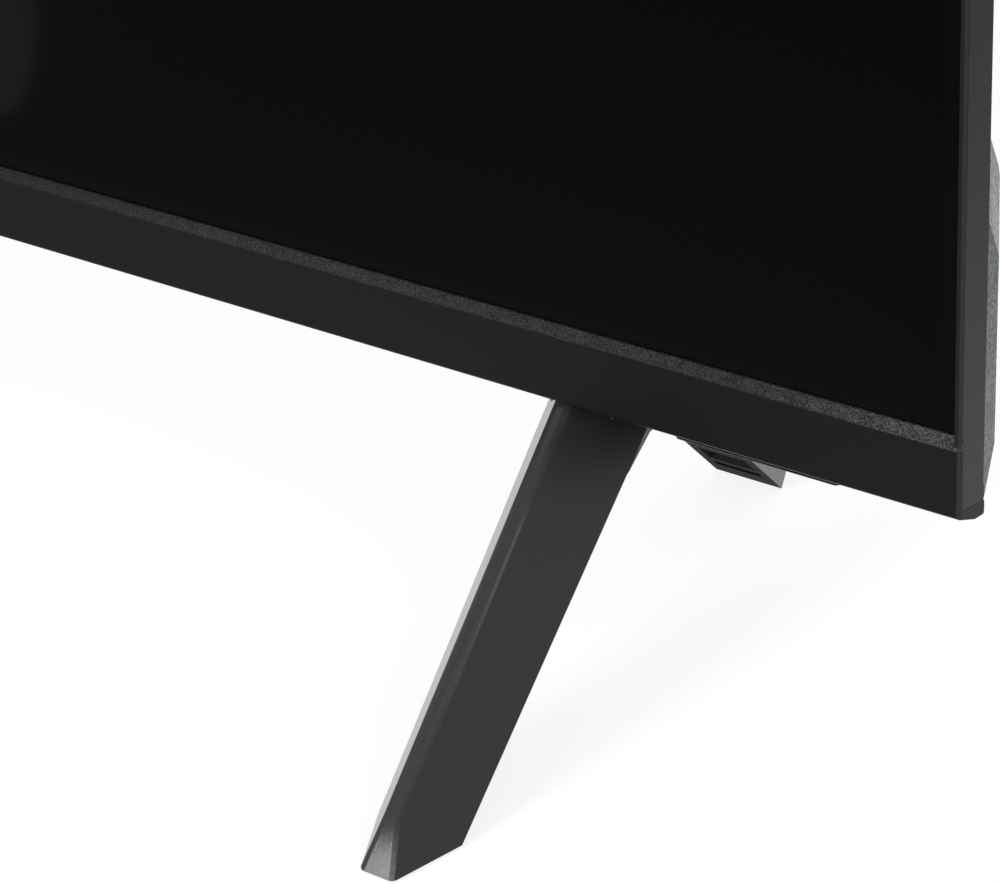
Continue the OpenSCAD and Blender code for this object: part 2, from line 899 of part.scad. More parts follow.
module audio_jacks() {
    color([0.1, 0.1, 0.1])
        in_body()
            for (z = [jack_z1, jack_z2])
                difference() {
                    union() {
                        box([-bay_x + cover_wall + fit, board_back + seat / 2, z - jack_r - 0.8],
                            [-bay_x + shell_deep, board_back + 12, z + jack_r + 0.8]);
                        rod_x(round_y, z, -bay_x, -bay_x + shell_deep - 2, jack_r);
                    }
                    rod_x(round_y, z, -bay_x - over, -bay_x + shell_deep - 3, 1.8);
                }
}

sink_w = 43.2;
sink_t = 2;
fin_count = 7;
fin_t = 1.4;
fin_h = 10;

module heat_sink() {
    base = board_back + chip_h + seat / 2;
    w = sink_w;
    pitch = (w - fin_t) / (fin_count - 1);
    color("silver")
        in_body() {
            box([chip_x - w / 2, base, chip_z - w / 2], [chip_x + w / 2, base + sink_t, chip_z + w / 2]);
            for (i = [0 : fin_count - 1])
                translate([chip_x - w / 2 + i * pitch, base + sink_t - eps, chip_z - w / 2])
                    cube([fin_t, fin_h, w]);
        }
}

coil_x = board_gap + 56;
coil_z = board_z + 62;
coil_w = 34;
coil_h = 30;
coil_deep = 22;
coil_base = 4;
cheek_t = 6;
coil_r = 8.5;
can_h = 26;
can_small = 8;
can_large = 9;

module transformer() {
    color("goldenrod")
        in_body()
            translate([coil_x, board_back + seat / 2, coil_z]) {
                cube([coil_w, coil_base, coil_h]);
                for (z = [0, coil_h - cheek_t])
                    translate([0, 0, z])
                        cube([coil_w, coil_deep, cheek_t]);
                translate([coil_w / 2, (coil_base + coil_deep) / 2, cheek_t / 2])
                    cylinder(h = coil_h - cheek_t, r = coil_r);
            }
}

// Places of the capacitors on the power board: each is [x, z, radius]
can_spots = [
    [24, board_h - 30, can_small],
    [44, board_h - 28, can_small],
    [board_w - 38, board_h - 22, can_large]
];

module capacitors() {
    color([0.12, 0.14, 0.2])
        in_body()
            for (spot = can_spots)
                rod_y(board_gap + spot[0], board_z + spot[1],
                    board_back + seat / 2, board_back + can_h, spot[2]);
}

inlet_z = bay_low + 20;
inlet_w = 22;
inlet_h = 13;
pin_gap = 8.6;

module inlet_outline(r) {
    for (side = [-1, 1])
        translate([0, side * pin_gap / 2])
            circle(r);
    square([2 * r, pin_gap], center = true);
}

module power_inlet() {
    color([0.08, 0.08, 0.08])
        in_body() {
            difference() {
                box([bay_x - 18, board_back + seat / 2, inlet_z - inlet_w / 2],
                    [bay_x, board_back + inlet_h, inlet_z + inlet_w / 2]);
                translate([bay_x - 11, board_back + inlet_h / 2, inlet_z])
                    rotate([0, 90, 0])
                        linear_extrude(20)
                            rotate([0, 0, 90])
                                inlet_outline(3.9);
            }
            for (side = [-1, 1])
                rod_x(board_back + inlet_h / 2, inlet_z + side * pin_gap / 2, bay_x - 12, bay_x - 2, 1.2);
        }
}

module board_screws() {
    color("silver")
        in_body()
            for (spot = board_spots) {
                rod_y(spot[0], spot[1], back_y + 1.5, board_back + eps, screw_r);
                rod_y(spot[0], spot[1], board_back, board_back + 1.6, 2 * screw_r);
            }
}

// Speakers in the wings

speaker_in = foot_x + bracket_w / 2 + 3;
speaker_w = 42;
speaker_low = 6;
speaker_h = 34;
speaker_y = wing_y - cover_wall - fit;
speaker_deep = 12;
cone_r = 14.5;
slot_count = 6;
slot_pitch = 5.4;
slot_w = 2.6;
slot_h = 26;
speaker_x = speaker_in + speaker_w / 2;
speaker_z = speaker_low + speaker_h / 2;

module speaker_box() {
    difference() {
        box([speaker_in, speaker_y - speaker_deep, speaker_low],
            [speaker_in + speaker_w, speaker_y, speaker_low + speaker_h]);
        rod_y(speaker_x, speaker_z, speaker_y - speaker_deep + 2, speaker_y + over, cone_r + fit);
    }
}

module right_speaker() {
    color([0.1, 0.1, 0.1])
        in_body()
            speaker_box();
}

module left_speaker() {
    color([0.1, 0.1, 0.1])
        in_body()
            mirror([1, 0, 0])
                speaker_box();
}

module speaker_cones() {
    color([0.2, 0.2, 0.2])
        in_body()
            both_sides()
                translate([speaker_x, speaker_y - speaker_deep + 2 + seat / 2, speaker_z])
                    rotate([-90, 0, 0])
                        rotate_extrude()
                            polygon([
                                [0, 0],
                                [cone_r * 0.5, 0],
                                [cone_r, 6],
                                [cone_r, 8],
                                [cone_r - 2.5, 8],
                                [cone_r * 0.45, 3],
                                [0, 4]
                            ]);
}

// Rear cover

function mirrored(points) = [for (i = [len(points) - 1 : -1 : 0]) [-points[i][0], points[i][1]]];

// The upper back, drawn smaller all round by a wall; the inner form is open to the front
module upper_form(t) {
    edge = cover_x - rim_w - t;
    front = t > 0 ? cover_y - over : rim_y - eps;
    tapered(front, upper_y - t, edge, edge - upper_lean, cover_low + t, cover_low + t,
        cover_top - rim_w - t, cover_top - rim_w - upper_lean - t);
}

// All that lies inside a wing's end wall, tilted about a height
module wing_face(t, z, tilt) {
    start = cover_y + 5;
    turn = atan(wing_lean / (wing_y - 4 - start));
    translate([cover_x - t, start, z])
        rotate([0, 0, turn])
            rotate([0, tilt, 0])
                translate([-2 * body_w, -body_w, -body_w])
                    cube(2 * body_w);
}

module wing_end(t) {
    intersection() {
        wing_face(t, tuck_z, wing_tilt);
        wing_face(t, brow_z, -brow_tilt);
    }
}

module wing_form(t) {
    front = t > 0 ? cover_y - over : cover_y;
    plan = [
        [cover_x - t, front],
        [cover_x - t, cover_y + 5],
        [cover_x - wing_lean - t, wing_y - 4],
        [cover_x - wing_lean - 5 - t / 2, wing_y - t]
    ];
    intersection() {
        translate([0, 0, cover_low - over])
            linear_extrude(body_h)
                polygon(concat(plan, mirrored(plan)));
        along_x(2 * body_w)
            polygon([
                [front, cover_low + t],
                [wing_y - 6, cover_low + t],
                [wing_y - t, cover_low + 8 + t / 2],
                [wing_y - t, wing_top - 24 - t / 2],
                [wing_y - 8, wing_top - 9 - t],
                [cover_y + 2, wing_top - t],
                [front, wing_top - t]
            ]);
        wing_end(t);
        mirror([1, 0, 0])
            wing_end(t);
    }
}

module hump_form(t) {
    root = upper_y - 10;
    plan = [
        [hump_x - t, root],
        [hump_x - hump_lean - t, hump_y - 6],
        [hump_x - hump_lean - 9 - t / 2, hump_y - t]
    ];
    intersection() {
        translate([0, 0, cover_low - over])
            linear_extrude(body_h)
                polygon(concat(plan, mirrored(plan)));
        along_x(2 * body_w)
            polygon([
                [root, cover_low + t],
                [hump_y - 12, cover_low + t],
                [hump_y - t, cover_low + 14 + t / 2],
                [hump_y - t, hump_top - 46 - t / 2],
                [hump_y - 13, hump_top - 17 - t],
                [root, hump_top - t]
            ]);
    }
}

module cover_form(t) {
    upper_form(t);
    wing_form(t);
    hump_form(t);
}

// A notch in the hump's side for plugs, open to the side and the rear
module bay_notch(top, grow) {
    box([bay_x - grow, bay_y - grow, bay_low - grow], [hump_x + 10 + grow, hump_y + 10 + grow, top + grow]);
}

module bays(grow) {
    bay_notch(inlet_top, grow);
    mirror([1, 0, 0])
        bay_notch(bay_top, grow);
}

// A square hole through the bay's inner wall
module bay_hole(side, z, w, h) {
    box([min(side * (bay_x - 10), side * (bay_x + 1)), board_back - fit / 2, z - w / 2 - fit],
        [max(side * (bay_x - 10), side * (bay_x + 1)), board_back + h + fit, z + w / 2 + fit]);
}

module vents() {
    for (i = [0 : vent_count - 1])
        translate([(i - (vent_count - 1) / 2) * vent_pitch, 0, 0]) {
            box([-vent_w / 2, hump_y - 26, hump_top - 38], [vent_w / 2, hump_y + over, hump_top - 22]);
            box([-vent_w / 2, wing_y + 4, cover_low - over],
                [vent_w / 2, hump_y - 16, cover_low + cover_wall + over]);
        }
    // Sound slots behind the speakers
    both_sides()
        for (i = [0 : slot_count - 1])
            translate([speaker_x + (i - (slot_count - 1) / 2) * slot_pitch, 0, speaker_z])
                box([-slot_w / 2, wing_y - cover_wall - over, -slot_h / 2],
                    [slot_w / 2, wing_y + over, slot_h / 2]);
}

module rear_cover() {
    color([0.22, 0.22, 0.23])
        in_body()
            difference() {
                union() {
                    difference() {
                        union() {
                            sheet(cover_x - rim_inset, wing_top - 4, cover_top - rim_inset,
                                cover_y, cover_wall);
                            cover_form(0);
                        }
                        cover_form(cover_wall);
                    }
                    intersection() {
                        hump_form(0);
                        bays(cover_wall);
                    }
                }
                bays(0);
                vents();
                bay_hole(-1, net_z, net_w, net_h);
                bay_hole(-1, hdmi_z1, hdmi_w, hdmi_h);
                bay_hole(-1, hdmi_z2, hdmi_w, hdmi_h);
                bay_hole(-1, usb_z, usb_w, usb_h);
                bay_hole(1, inlet_z, inlet_w, inlet_h);
                rod_x(round_y, antenna_z, -bay_x - over, -bay_x + 10, barrel_r + fit);
                for (z = [jack_z1, jack_z2])
                    rod_x(round_y, z, -bay_x - over, -bay_x + 10, jack_r + fit);
                for (spot = vesa_spots)
                    rod_y(spot[0], spot[1], hump_y - 10, hump_y + over, sleeve_r + fit);
                for (spot = rim_spots)
                    rod_y(spot[0], spot[1], cover_y - over, rim_y + over, screw_r + fit);
                both_sides()
                    neck_way();
                // The bezel's underside lies in front of this line
                box([-body_w, 0, -20], [body_w, under_d + 2 * seat, parting_z]);
                for (x = peg_xs)
                    translate([x, button_y, -20])
                        cylinder(h = 30, r = peg_r + fit);
            }
}

module cover_screws() {
    color([0.1, 0.1, 0.1])
        in_body()
            for (spot = rim_spots) {
                rod_y(spot[0], spot[1], tray_y + steel_t + 2 * fit, rim_y + eps, screw_r);
                rod_y(spot[0], spot[1], rim_y, rim_y + 1.8, 2 * screw_r);
            }
}

module vesa_sleeves() {
    color("silver")
        in_body()
            for (spot = vesa_spots)
                difference() {
                    union() {
                        rod_y(spot[0], spot[1], back_y, hump_y, sleeve_r);
                        rod_y(spot[0], spot[1], back_y, back_y + 2, sleeve_r + 3);
                    }
                    rod_y(spot[0], spot[1], hump_y - 25, hump_y + over, vesa_r);
                }
}

// Feet and what holds them

collar_h = 4;

module foot_bracket() {
    upright = back_y + seat / 2;
    difference() {
        union() {
            along_x(bracket_w, foot_x)
                polygon([
                    [neck_front + 1, plate_z],
                    [upright + bracket_t, plate_z],
                    [upright + bracket_t, board_z],
                    [upright, board_z],
                    [upright, plate_z + bracket_t],
                    [neck_front + 1, plate_z + bracket_t]
                ]);
            // Side gussets between the plate and the upright
            for (side = [-1, 1])
                along_x(bracket_t, foot_x + side * (bracket_w - bracket_t) / 2)
                    polygon([
                        [neck_front + 5, plate_z + eps],
                        [upright + eps, plate_z + eps],
                        [upright + eps, plate_z + 16]
                    ]);
            for (y = [screw_front, screw_rear])
                translate([foot_x, y, plate_z])
                    cylinder(h = bracket_t + collar_h, r = 1.75 * foot_screw_r);
        }
        for (y = [screw_front, screw_rear])
            translate([foot_x, y, plate_z - over])
                cylinder(h = 30, r = foot_screw_r + fit / 2);
    }
}

module right_foot_bracket() {
    color("lightslategray")
        in_body()
            foot_bracket();
}

module left_foot_bracket() {
    color("lightslategray")
        in_body()
            mirror([1, 0, 0])
                foot_bracket();
}

// A wedge that spreads from a ridge; the ridge starts at the floor and climbs towards +Y
module wedge(slope, flank, skin, start) {
    long = 2 * foot_drop / sin(slope);
    deep = foot_drop;
    spread = tan(flank);
    side = skin / cos(flank);
    translate([0, start, 0])
        rotate([slope - 90, 0, 0])
            linear_extrude(long)
                polygon([
                    [-strip_w / 2 + side - skin * spread, skin],
                    [strip_w / 2 - side + skin * spread, skin],
                    [strip_w / 2 - side + deep * spread, deep],
                    [-strip_w / 2 + side - deep * spread, deep]
                ]);
}

foot_mid = (neck_front + neck_rear) / 2;
corner_z = arch_z - arch_corner / 2;
rim_front = corner_z / (tan(front_slope) * rim_share) + front_heel;
rim_rear = rear_heel - arch_z / tan(rear_slope);
toe_solid = 12;
rear_solid = 5;
rib_count = floor(foot_drop / rib_pitch);

// Side view of the two legs, from the floor to the body's underside
module foot_side() {
    shoulder = (foot_drop - fit - ridge_front(0)) / (tan(front_slope) + knee_drop / knee_d);
    rear_top = rear_root - (foot_drop + cover_low - fit) / tan(rear_slope);
    polygon([
        [-toe_front, 0],
        [-toe_front + front_nose / tan(toe_slope), front_nose],
        [shoulder, ridge_front(shoulder)],
        [knee_d, foot_drop + under_z(knee_d) - fit],
        [under_d + 2 * fit, foot_drop + under_z(under_d + 2 * fit) - fit],
        [under_d + 2 * fit, foot_drop + cover_low - fit],
        [rear_top, foot_drop + cover_low - fit],
        [toe_rear - rear_nose / tan(rear_toe_slope), rear_nose],
        [toe_rear, 0],
        [rear_heel, 0],
        [rim_rear, arch_z],
        [rim_front + arch_corner, arch_z],
        [rim_front, corner_z],
        [front_heel, 0]
    ]);
}

// The two legs between their flanks, drawn smaller by a skin
module legs(skin) {
    intersection() {
        box([-foot_w / 2 + skin, -200, 0], [foot_w / 2 - skin, 200, foot_drop - skin]);
        union() {
            intersection() {
                wedge(front_slope, flank_angle, skin, front_root);
                box([-50, -200, 0], [50, foot_mid, 200]);
            }
            intersection() {
                mirror([0, 1, 0])
                    wedge(rear_slope, rear_flank, skin, -rear_root);
                box([-50, foot_mid - eps, 0], [50, 200, 200]);
            }
        }
    }
}

// The neck that enters the body
module neck(skin, top) {
    box([-neck_w / 2 + skin, neck_front + skin, foot_drop - neck_l / 3],
        [neck_w / 2 - skin, neck_rear - skin, foot_drop + top]);
}

// The roof of the hollow keeps a wall below the body's underside
module hollow_roof() {
    low = foot_drop + under_z(under_d) - fit - foot_wall;
    box([-50, -200, low], [50, 200, 200]);
}

module ribs() {
    for (i = [1 : rib_count]) {
        translate([0, front_heel + 4 + i * rib_pitch * cos(front_slope), i * rib_pitch * sin(front_slope)])
            rotate([front_slope, 0, 0])
                cube([2 * foot_w, rib_t, 60], center = true);
        translate([0, rear_heel - 2 - i * rib_pitch * cos(rear_slope), i * rib_pitch * sin(rear_slope)])
            rotate([-rear_slope, 0, 0])
                cube([2 * foot_w, rib_t, 60], center = true);
    }
}

// Footprint of a toe's rubber pad
module pad_outline(grow) {
    polygon([
        [-2.2 - grow, 2.6 - grow],
        [2.2 + grow, 2.6 - grow],
        [5.4 + grow, toe_l - 2.6 + grow],
        [-5.4 - grow, toe_l - 2.6 + grow]
    ]);
}

module toe_pads(grow, h) {
    translate([0, -toe_front, -eps])
        linear_extrude(h)
            pad_outline(grow);
    translate([0, toe_rear, -eps])
        mirror([0, 1, 0])
            linear_extrude(h)
                pad_outline(grow);
}

module foot() {
    difference() {
        union() {
            intersection() {
                along_x(2 * foot_w)
                    foot_side();
                legs(0);
                box([-50, -200, pad_proud], [50, 200, 200]);
            }
            neck(0, neck_top);
        }
        difference() {
            legs(foot_wall);
            ribs();
            box([-50, -200, -over], [50, foot_mid, toe_solid]);
            box([-50, foot_mid - eps, -over], [50, 200, rear_solid]);
            hollow_roof();
        }
        neck(foot_wall, neck_top - neck_plate);
        for (y = [screw_front, screw_rear])
            translate([0, y, foot_drop - over])
                cylinder(h = 30, r = foot_screw_r + fit);
        toe_pads(fit / 2, pad_proud + pad_seat);
    }
}

module right_foot() {
    color([0.25, 0.25, 0.26])
        translate([foot_x, face_y, 0])
            foot();
}

module left_foot() {
    color([0.25, 0.25, 0.26])
        translate([-foot_x, face_y, 0])
            foot();
}

module foot_screws() {
    color("silver")
        in_body()
            for (side = [-1, 1])
                for (y = [screw_front, screw_rear])
                    translate([side * foot_x, y, neck_top - neck_plate - head_h]) {
                        cylinder(h = head_h, r = head_r);
                        cylinder(h = head_h + neck_plate + bracket_t + collar_h, r = foot_screw_r);
                    }
}

module foot_pads() {
    color([0.08, 0.08, 0.08])
        for (side = [-1, 1])
            translate([side * foot_x, face_y, eps])
                toe_pads(0, pad_proud + pad_seat - seat / 2);
}

// Sensor pod with the power button

peg_r = 1.4;
peg_xs = [pod_in + 3, pod_out - 6];
key_t = 0.8;
key_y0 = under_d + fit + 1;
key_y1 = pod_rear - 1.2;

module pod_plan() {
    r = 5;
    translate([pod_in, pod_front])
        square([pod_l - r, pod_rear - pod_front]);
    translate([pod_out - r - eps, pod_front + r])
        square([r + eps, pod_rear - pod_front - 2 * r]);
    for (y = [pod_front + r, pod_rear - r])
        translate([pod_out - r, y])
            circle(r);
}

module sensor_pod() {
    color([0.12, 0.12, 0.12])
        in_body() {
            difference() {
                intersection() {
                    along_x(body_w)
                        polygon([
                            [pod_front, under_z(pod_front) - seat],
                            [under_d + fit, under_z(under_d + fit) - seat],
                            [under_d + fit, cover_low - seat],
                            [pod_rear, cover_low - seat],
                            [pod_rear, -pod_drop + 1.4],
                            [pod_rear - 1.4, -pod_drop],
                            [pod_front + 0.8, -pod_drop],
                            [pod_front, -pod_drop + 0.8]
                        ]);
                    translate([0, 0, -20])
                        linear_extrude(40)
                            pod_plan();
                }
                box([pod_in + 6, key_y0, -pod_drop + pod_floor], [pod_out - 9, key_y1, 0]);
                translate([button_x, button_y, -pod_drop - over])
                    cylinder(h = 10, r = button_r + fit);
                lens_box(fit / 2);
            }
            for (x = peg_xs)
                translate([x, button_y, cover_low - seat - 1])
                    cylinder(h = 1 + seat + cover_wall + 1, r = peg_r);
        }
}

module lens_box(grow) {
    box([pod_in + 5 - grow, pod_front - grow, -pod_drop + 1.1 - grow],
        [pod_in + 14 + grow, pod_front + 1.2 + grow, -pod_drop + 2.5 + grow]);
}

module sensor_lens() {
    color([0.25, 0.05, 0.08])
        in_body()
            lens_box(0);
}

module key_board() {
    color("darkgreen")
        in_body()
            box([pod_in + 6 + fit, key_y0 + fit, cover_low - seat - key_t],
                [pod_out - 9 - fit, key_y1 - fit, cover_low - seat]);
}

module power_button() {
    low = -pod_drop + pod_floor + seat;
    color([0.1, 0.1, 0.1])
        in_body()
            translate([button_x, button_y, 0]) {
                translate([0, 0, -pod_drop - button_proud])
                    cylinder(h = button_proud + pod_floor + seat + 0.1, r = button_r);
                translate([0, 0, low])
                    cylinder(h = 0.6, r = button_flange);
            }
}

bottom_bezel();
top_frame();
left_frame();
right_frame();
lcd_panel();
driver_board();
driver_tabs();
middle_frame();
prism_film();
diffuser_film();
diffuser_plate();
reflector_sheet();
light_bars();
light_lenses();
diffuser_posts();
back_tray();
main_board();
power_board();
panel_ribbon();
hdmi_sockets();
usb_socket();
network_socket();
antenna_socket();
audio_jacks();
heat_sink();
transformer();
capacitors();
power_inlet();
board_screws();
left_speaker();
right_speaker();
speaker_cones();
vesa_sleeves();
rear_cover();
cover_screws();
left_foot_bracket();
right_foot_bracket();
left_foot();
right_foot();
foot_screws();
foot_pads();
sensor_pod();
sensor_lens();
key_board();
power_button();
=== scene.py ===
"""Finishes, rounded casing pieces, stage and camera of a flat screen television, laid out as an add-on."""

import json
import math

import bmesh
import bpy
from bpy.props import FloatProperty, FloatVectorProperty, IntProperty, PointerProperty
from mathutils import Matrix, Vector


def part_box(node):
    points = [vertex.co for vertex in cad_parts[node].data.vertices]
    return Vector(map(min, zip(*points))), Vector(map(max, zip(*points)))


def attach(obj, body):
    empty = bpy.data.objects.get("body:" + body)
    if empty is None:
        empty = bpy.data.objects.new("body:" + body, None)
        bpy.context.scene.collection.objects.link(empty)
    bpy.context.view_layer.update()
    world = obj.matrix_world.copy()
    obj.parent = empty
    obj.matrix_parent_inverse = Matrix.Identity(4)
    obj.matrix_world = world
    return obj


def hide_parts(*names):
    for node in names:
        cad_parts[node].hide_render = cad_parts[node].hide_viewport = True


bl_info = {
    "name": "Flat screen television",
    "version": (1, 0, 0),
    "blender": (4, 5, 0),
    "location": "3D View > Sidebar > Television",
    "description": "Dresses the solids of a flat screen television and sets its stage",
    "category": "Object",
}

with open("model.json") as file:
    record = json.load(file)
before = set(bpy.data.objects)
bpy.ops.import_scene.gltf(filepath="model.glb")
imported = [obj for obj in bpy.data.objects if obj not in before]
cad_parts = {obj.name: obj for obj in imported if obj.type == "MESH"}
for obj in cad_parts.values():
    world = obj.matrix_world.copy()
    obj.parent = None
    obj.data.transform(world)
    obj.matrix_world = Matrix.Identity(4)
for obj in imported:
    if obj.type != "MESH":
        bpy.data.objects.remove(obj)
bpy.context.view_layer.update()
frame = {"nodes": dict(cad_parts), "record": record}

SET_BODY = "set"
# A finish is named for its slot, with this before it.
FINISH_PREFIX = "tv_"
# Lengths are in metres, and small ones are written in millimetres.
MM = 0.001


# Values that a user would change

def colour_property(name, description, default):
    """A colour that a user would change."""
    return FloatVectorProperty(
        name=name, description=description, default=default, size=3, subtype="COLOR", min=0, max=1
    )


def length_property(name, description, default):
    """A length that a user would change."""
    return FloatProperty(
        name=name, description=description, default=default, min=0, precision=5, subtype="DISTANCE",
        unit="LENGTH",
    )


def angle_property(name, description, degrees):
    """An angle that a user would change, given in degrees."""
    return FloatProperty(
        name=name, description=description, default=math.radians(degrees), subtype="ANGLE", unit="ROTATION"
    )


def power_property(name, description, default):
    """A lamp's power that a user would change."""
    return FloatProperty(
        name=name, description=description, default=default, min=0, precision=4, unit="POWER"
    )


class TelevisionFinish(bpy.types.PropertyGroup):
    """Colours, grain and edge sizes of the television's pieces."""

    bezel_colour: colour_property("Bezel", "Colour of the lower bezel's face", (0.0035, 0.0035, 0.0037))
    lip_colour: colour_property("Lip", "Ground colour of the bezel's grained lip", (0.006, 0.006, 0.0062))
    lip_pale: colour_property("Lip tops", "Colour of the tops of the lip's grain", (0.046, 0.046, 0.047))
    frame_colour: colour_property("Frame", "Colour of the side and top frames", (0.0083, 0.0083, 0.0085))
    screen_colour: colour_property("Screen", "Colour of the dark picture area", (0.0014, 0.0014, 0.0015))
    foot_colour: colour_property("Feet", "Colour of the moulded feet", (0.021, 0.021, 0.0213))
    # The feet's inner faces are darker than the outside as painted shade.
    foot_inside: colour_property("Feet inside", "Colour of the feet's inner faces", (0.012, 0.012, 0.012))
    # The ridges' paler rubbed line is partly wear and partly a painted highlight.
    rub_colour: colour_property("Rubbed ridge", "Colour of rubbed edges on the feet", (0.05, 0.05, 0.0505))
    # The toe tips' pale colour is partly scuffing and partly a painted highlight.
    scuff_colour: colour_property("Scuffs", "Colour of the scuffed toe tips", (0.14, 0.14, 0.141))
    # Paler colour of the rounded upright corners, a painted highlight.
    worn_colour: colour_property("Worn", "Colour of the casing's worn corners", (0.037, 0.037, 0.0375))
    cover_colour: colour_property("Rear cover", "Ground colour of the rear cover", (0.022, 0.022, 0.0225))
    cover_pale: colour_property("Cover tops", "Colour of the cover grain's tops", (0.092, 0.092, 0.093))
    lip_grain: length_property("Lip grain", "Size of the grain on the lip", 0.32 * MM)
    cover_grain: length_property("Cover grain", "Size of the grain on the rear cover", 0.8 * MM)
    fine_grain: length_property("Fine grain", "Size of the fine moulded grain", 0.18 * MM)
    bezel_round: length_property("Bezel edge", "Rounding of the bezel's edges", 0.22 * MM)
    frame_round: length_property("Frame edge", "Rounding of the frames' edges", 0.15 * MM)
    ridge_round: length_property("Ridge", "Rounding of the edges along the feet's ridges", 0.9 * MM)
    foot_round: length_property("Foot edge", "Rounding of the feet's other edges", 0.3 * MM)
    cover_round: length_property("Cover edge", "Rounding of the rear cover's long edges", 1.2 * MM)
    pod_round: length_property("Pod edge", "Rounding of the sensor pod's edges", 0.25 * MM)
    round_steps: IntProperty(
        name="Steps", description="Faces across a rounded edge", default=3, min=1, max=6
    )


class TelevisionStage(bpy.types.PropertyGroup):
    """Camera, lamps and floor."""

    camera_place: FloatVectorProperty(
        name="Camera", description="Where the camera stands", default=(0.5590, -0.4280, 0.4041), size=3,
        subtype="TRANSLATION", unit="LENGTH",
    )
    camera_azimuth: angle_property("Azimuth", "Turn of the view from straight in front", 35.24)
    camera_elevation: angle_property("Elevation", "Tilt of the view above the horizon", 34.47)
    camera_roll: angle_property("Roll", "Turn of the picture about the view", -4.73)
    camera_lens: FloatProperty(
        name="Lens", description="Focal length in millimetres", default=114.516, min=1, unit="CAMERA"
    )
    floor_size: length_property("Floor", "Width of the floor", 12.0)
    key_power: power_property("Key", "Power of the key lamp", 26.0)
    fill_power: power_property("Fill", "Power of the fill lamp", 14.0)
    card_power: power_property("Card", "Power of the card lamp", 0.0072)
    sky_light: FloatProperty(
        name="Sky", description="Strength of the even light from all round", default=0.55, min=0
    )


def settings():
    """The finish sizes and colours."""
    return bpy.context.scene.television_finish


# Node helpers

# Noise swings about this value.
NOISE_MIDDLE = 0.5
# Places of a Mix node's first value, second value and result, for numbers and for colours.
MIX_SOCKETS = {"FLOAT": (2, 3, 0), "RGBA": (6, 7, 2)}


def feed(tree, value, socket):
    """Sets a socket from a number or colour, or joins it to another node's output."""
    if isinstance(value, bpy.types.NodeSocket):
        tree.links.new(value, socket)
    else:
        socket.default_value = value


def set_inputs(tree, made, **values):
    """Feeds a node's sockets by their names, with _ for a space."""
    for key, value in values.items():
        feed(tree, value, made.inputs[key.replace("_", " ")])


def node(tree, kind, **options):
    """A new node with its options."""
    made = tree.nodes.new(kind)
    for key, value in options.items():
        setattr(made, key, value)
    return made


def reckon(tree, operation, *values, clamp=False):
    """The result of a Math node."""
    made = node(tree, "ShaderNodeMath", operation=operation, use_clamp=clamp)
    for slot, value in enumerate(values):
        feed(tree, value, made.inputs[slot])
    return made.outputs[0]


def mix(tree, kind, factor, first, second, **options):
    """The result of a Mix node for numbers or colours."""
    made = node(tree, "ShaderNodeMix", data_type=kind, **options)
    first_at, second_at, result_at = MIX_SOCKETS[kind]
    feed(tree, factor, made.inputs[0])
    feed(tree, first, made.inputs[first_at])
    feed(tree, second, made.inputs[second_at])
    return made.outputs[result_at]


def blend(tree, factor, first, second):
    """The result of mixing two colours."""
    return mix(tree, "RGBA", factor, first, second)


def shade(tree, colour, amount):
    """A colour made lighter or darker by a factor that changes over the surface."""
    grey = node(tree, "ShaderNodeCombineColor")
    for slot in range(3):
        feed(tree, amount, grey.inputs[slot])
    return mix(tree, "RGBA", 1.0, colour, grey.outputs[0], blend_type="MULTIPLY")


def ramp(tree, value, low, high):
    """Value's way from low to high as 0 to 1, eased at both ends."""
    made = node(tree, "ShaderNodeMapRange", interpolation_type="SMOOTHSTEP")
    set_inputs(tree, made, Value=value, From_Min=low, From_Max=high)
    return made.outputs["Result"]


def noise(tree, place, scale, detail=2.0, rough=0.5):
    """Cloudy noise about its middle."""
    made = node(tree, "ShaderNodeTexNoise")
    set_inputs(tree, made, Vector=place, Scale=scale, Detail=detail, Roughness=rough)
    return made.outputs["Fac"]


def swayed(tree, middle, cloud, amount, clamp=False):
    """A value that sways about a middle with a noise, by an amount."""
    swing = reckon(tree, "SUBTRACT", cloud, NOISE_MIDDLE)
    return reckon(tree, "MULTIPLY_ADD", swing, amount, middle, clamp=clamp)


def stretched(tree, place, factors):
    """Coordinates drawn out by a factor along each axis."""
    made = node(tree, "ShaderNodeVectorMath", operation="MULTIPLY")
    feed(tree, place, made.inputs[0])
    feed(tree, factors, made.inputs[1])
    return made.outputs[0]


def object_place(tree):
    """A point's place in the part's own frame, in metres."""
    return node(tree, "ShaderNodeTexCoord").outputs["Object"]


def axes_of(tree, place):
    """The x, y and z of a place or direction."""
    made = node(tree, "ShaderNodeSeparateXYZ")
    feed(tree, place, made.inputs[0])
    return made.outputs


# Shared effects

SURFACE_OUTPUTS = [("Colour", "Color"), ("Roughness", "Float"), ("Height", "Float")]


def new_group(name, inputs, outputs):
    """An empty shader group with named sockets: its tree, its given values and its end node."""
    tree = bpy.data.node_groups.new(name, "ShaderNodeTree")
    for label, kind, value in inputs:
        socket = tree.interface.new_socket(label, in_out="INPUT", socket_type="NodeSocket" + kind)
        socket.default_value = value
    for label, kind in outputs:
        tree.interface.new_socket(label, in_out="OUTPUT", socket_type="NodeSocket" + kind)
    return tree, node(tree, "NodeGroupInput").outputs, node(tree, "NodeGroupOutput")


# The fine noise's share of the moulded grain's height, the rest being bumps, and the bumps' scale
# and softness.
FINE_SHARE = 0.55
BUMP_SCALE = 0.8
BUMP_BLUR = 0.6
# Scale of the slow drift over moulded plastic, and how strongly the grain and the drift show.
DRIFT_SCALE = 7.0
GRAIN_SWAY = 2.0
DRIFT_SWAY = 0.5


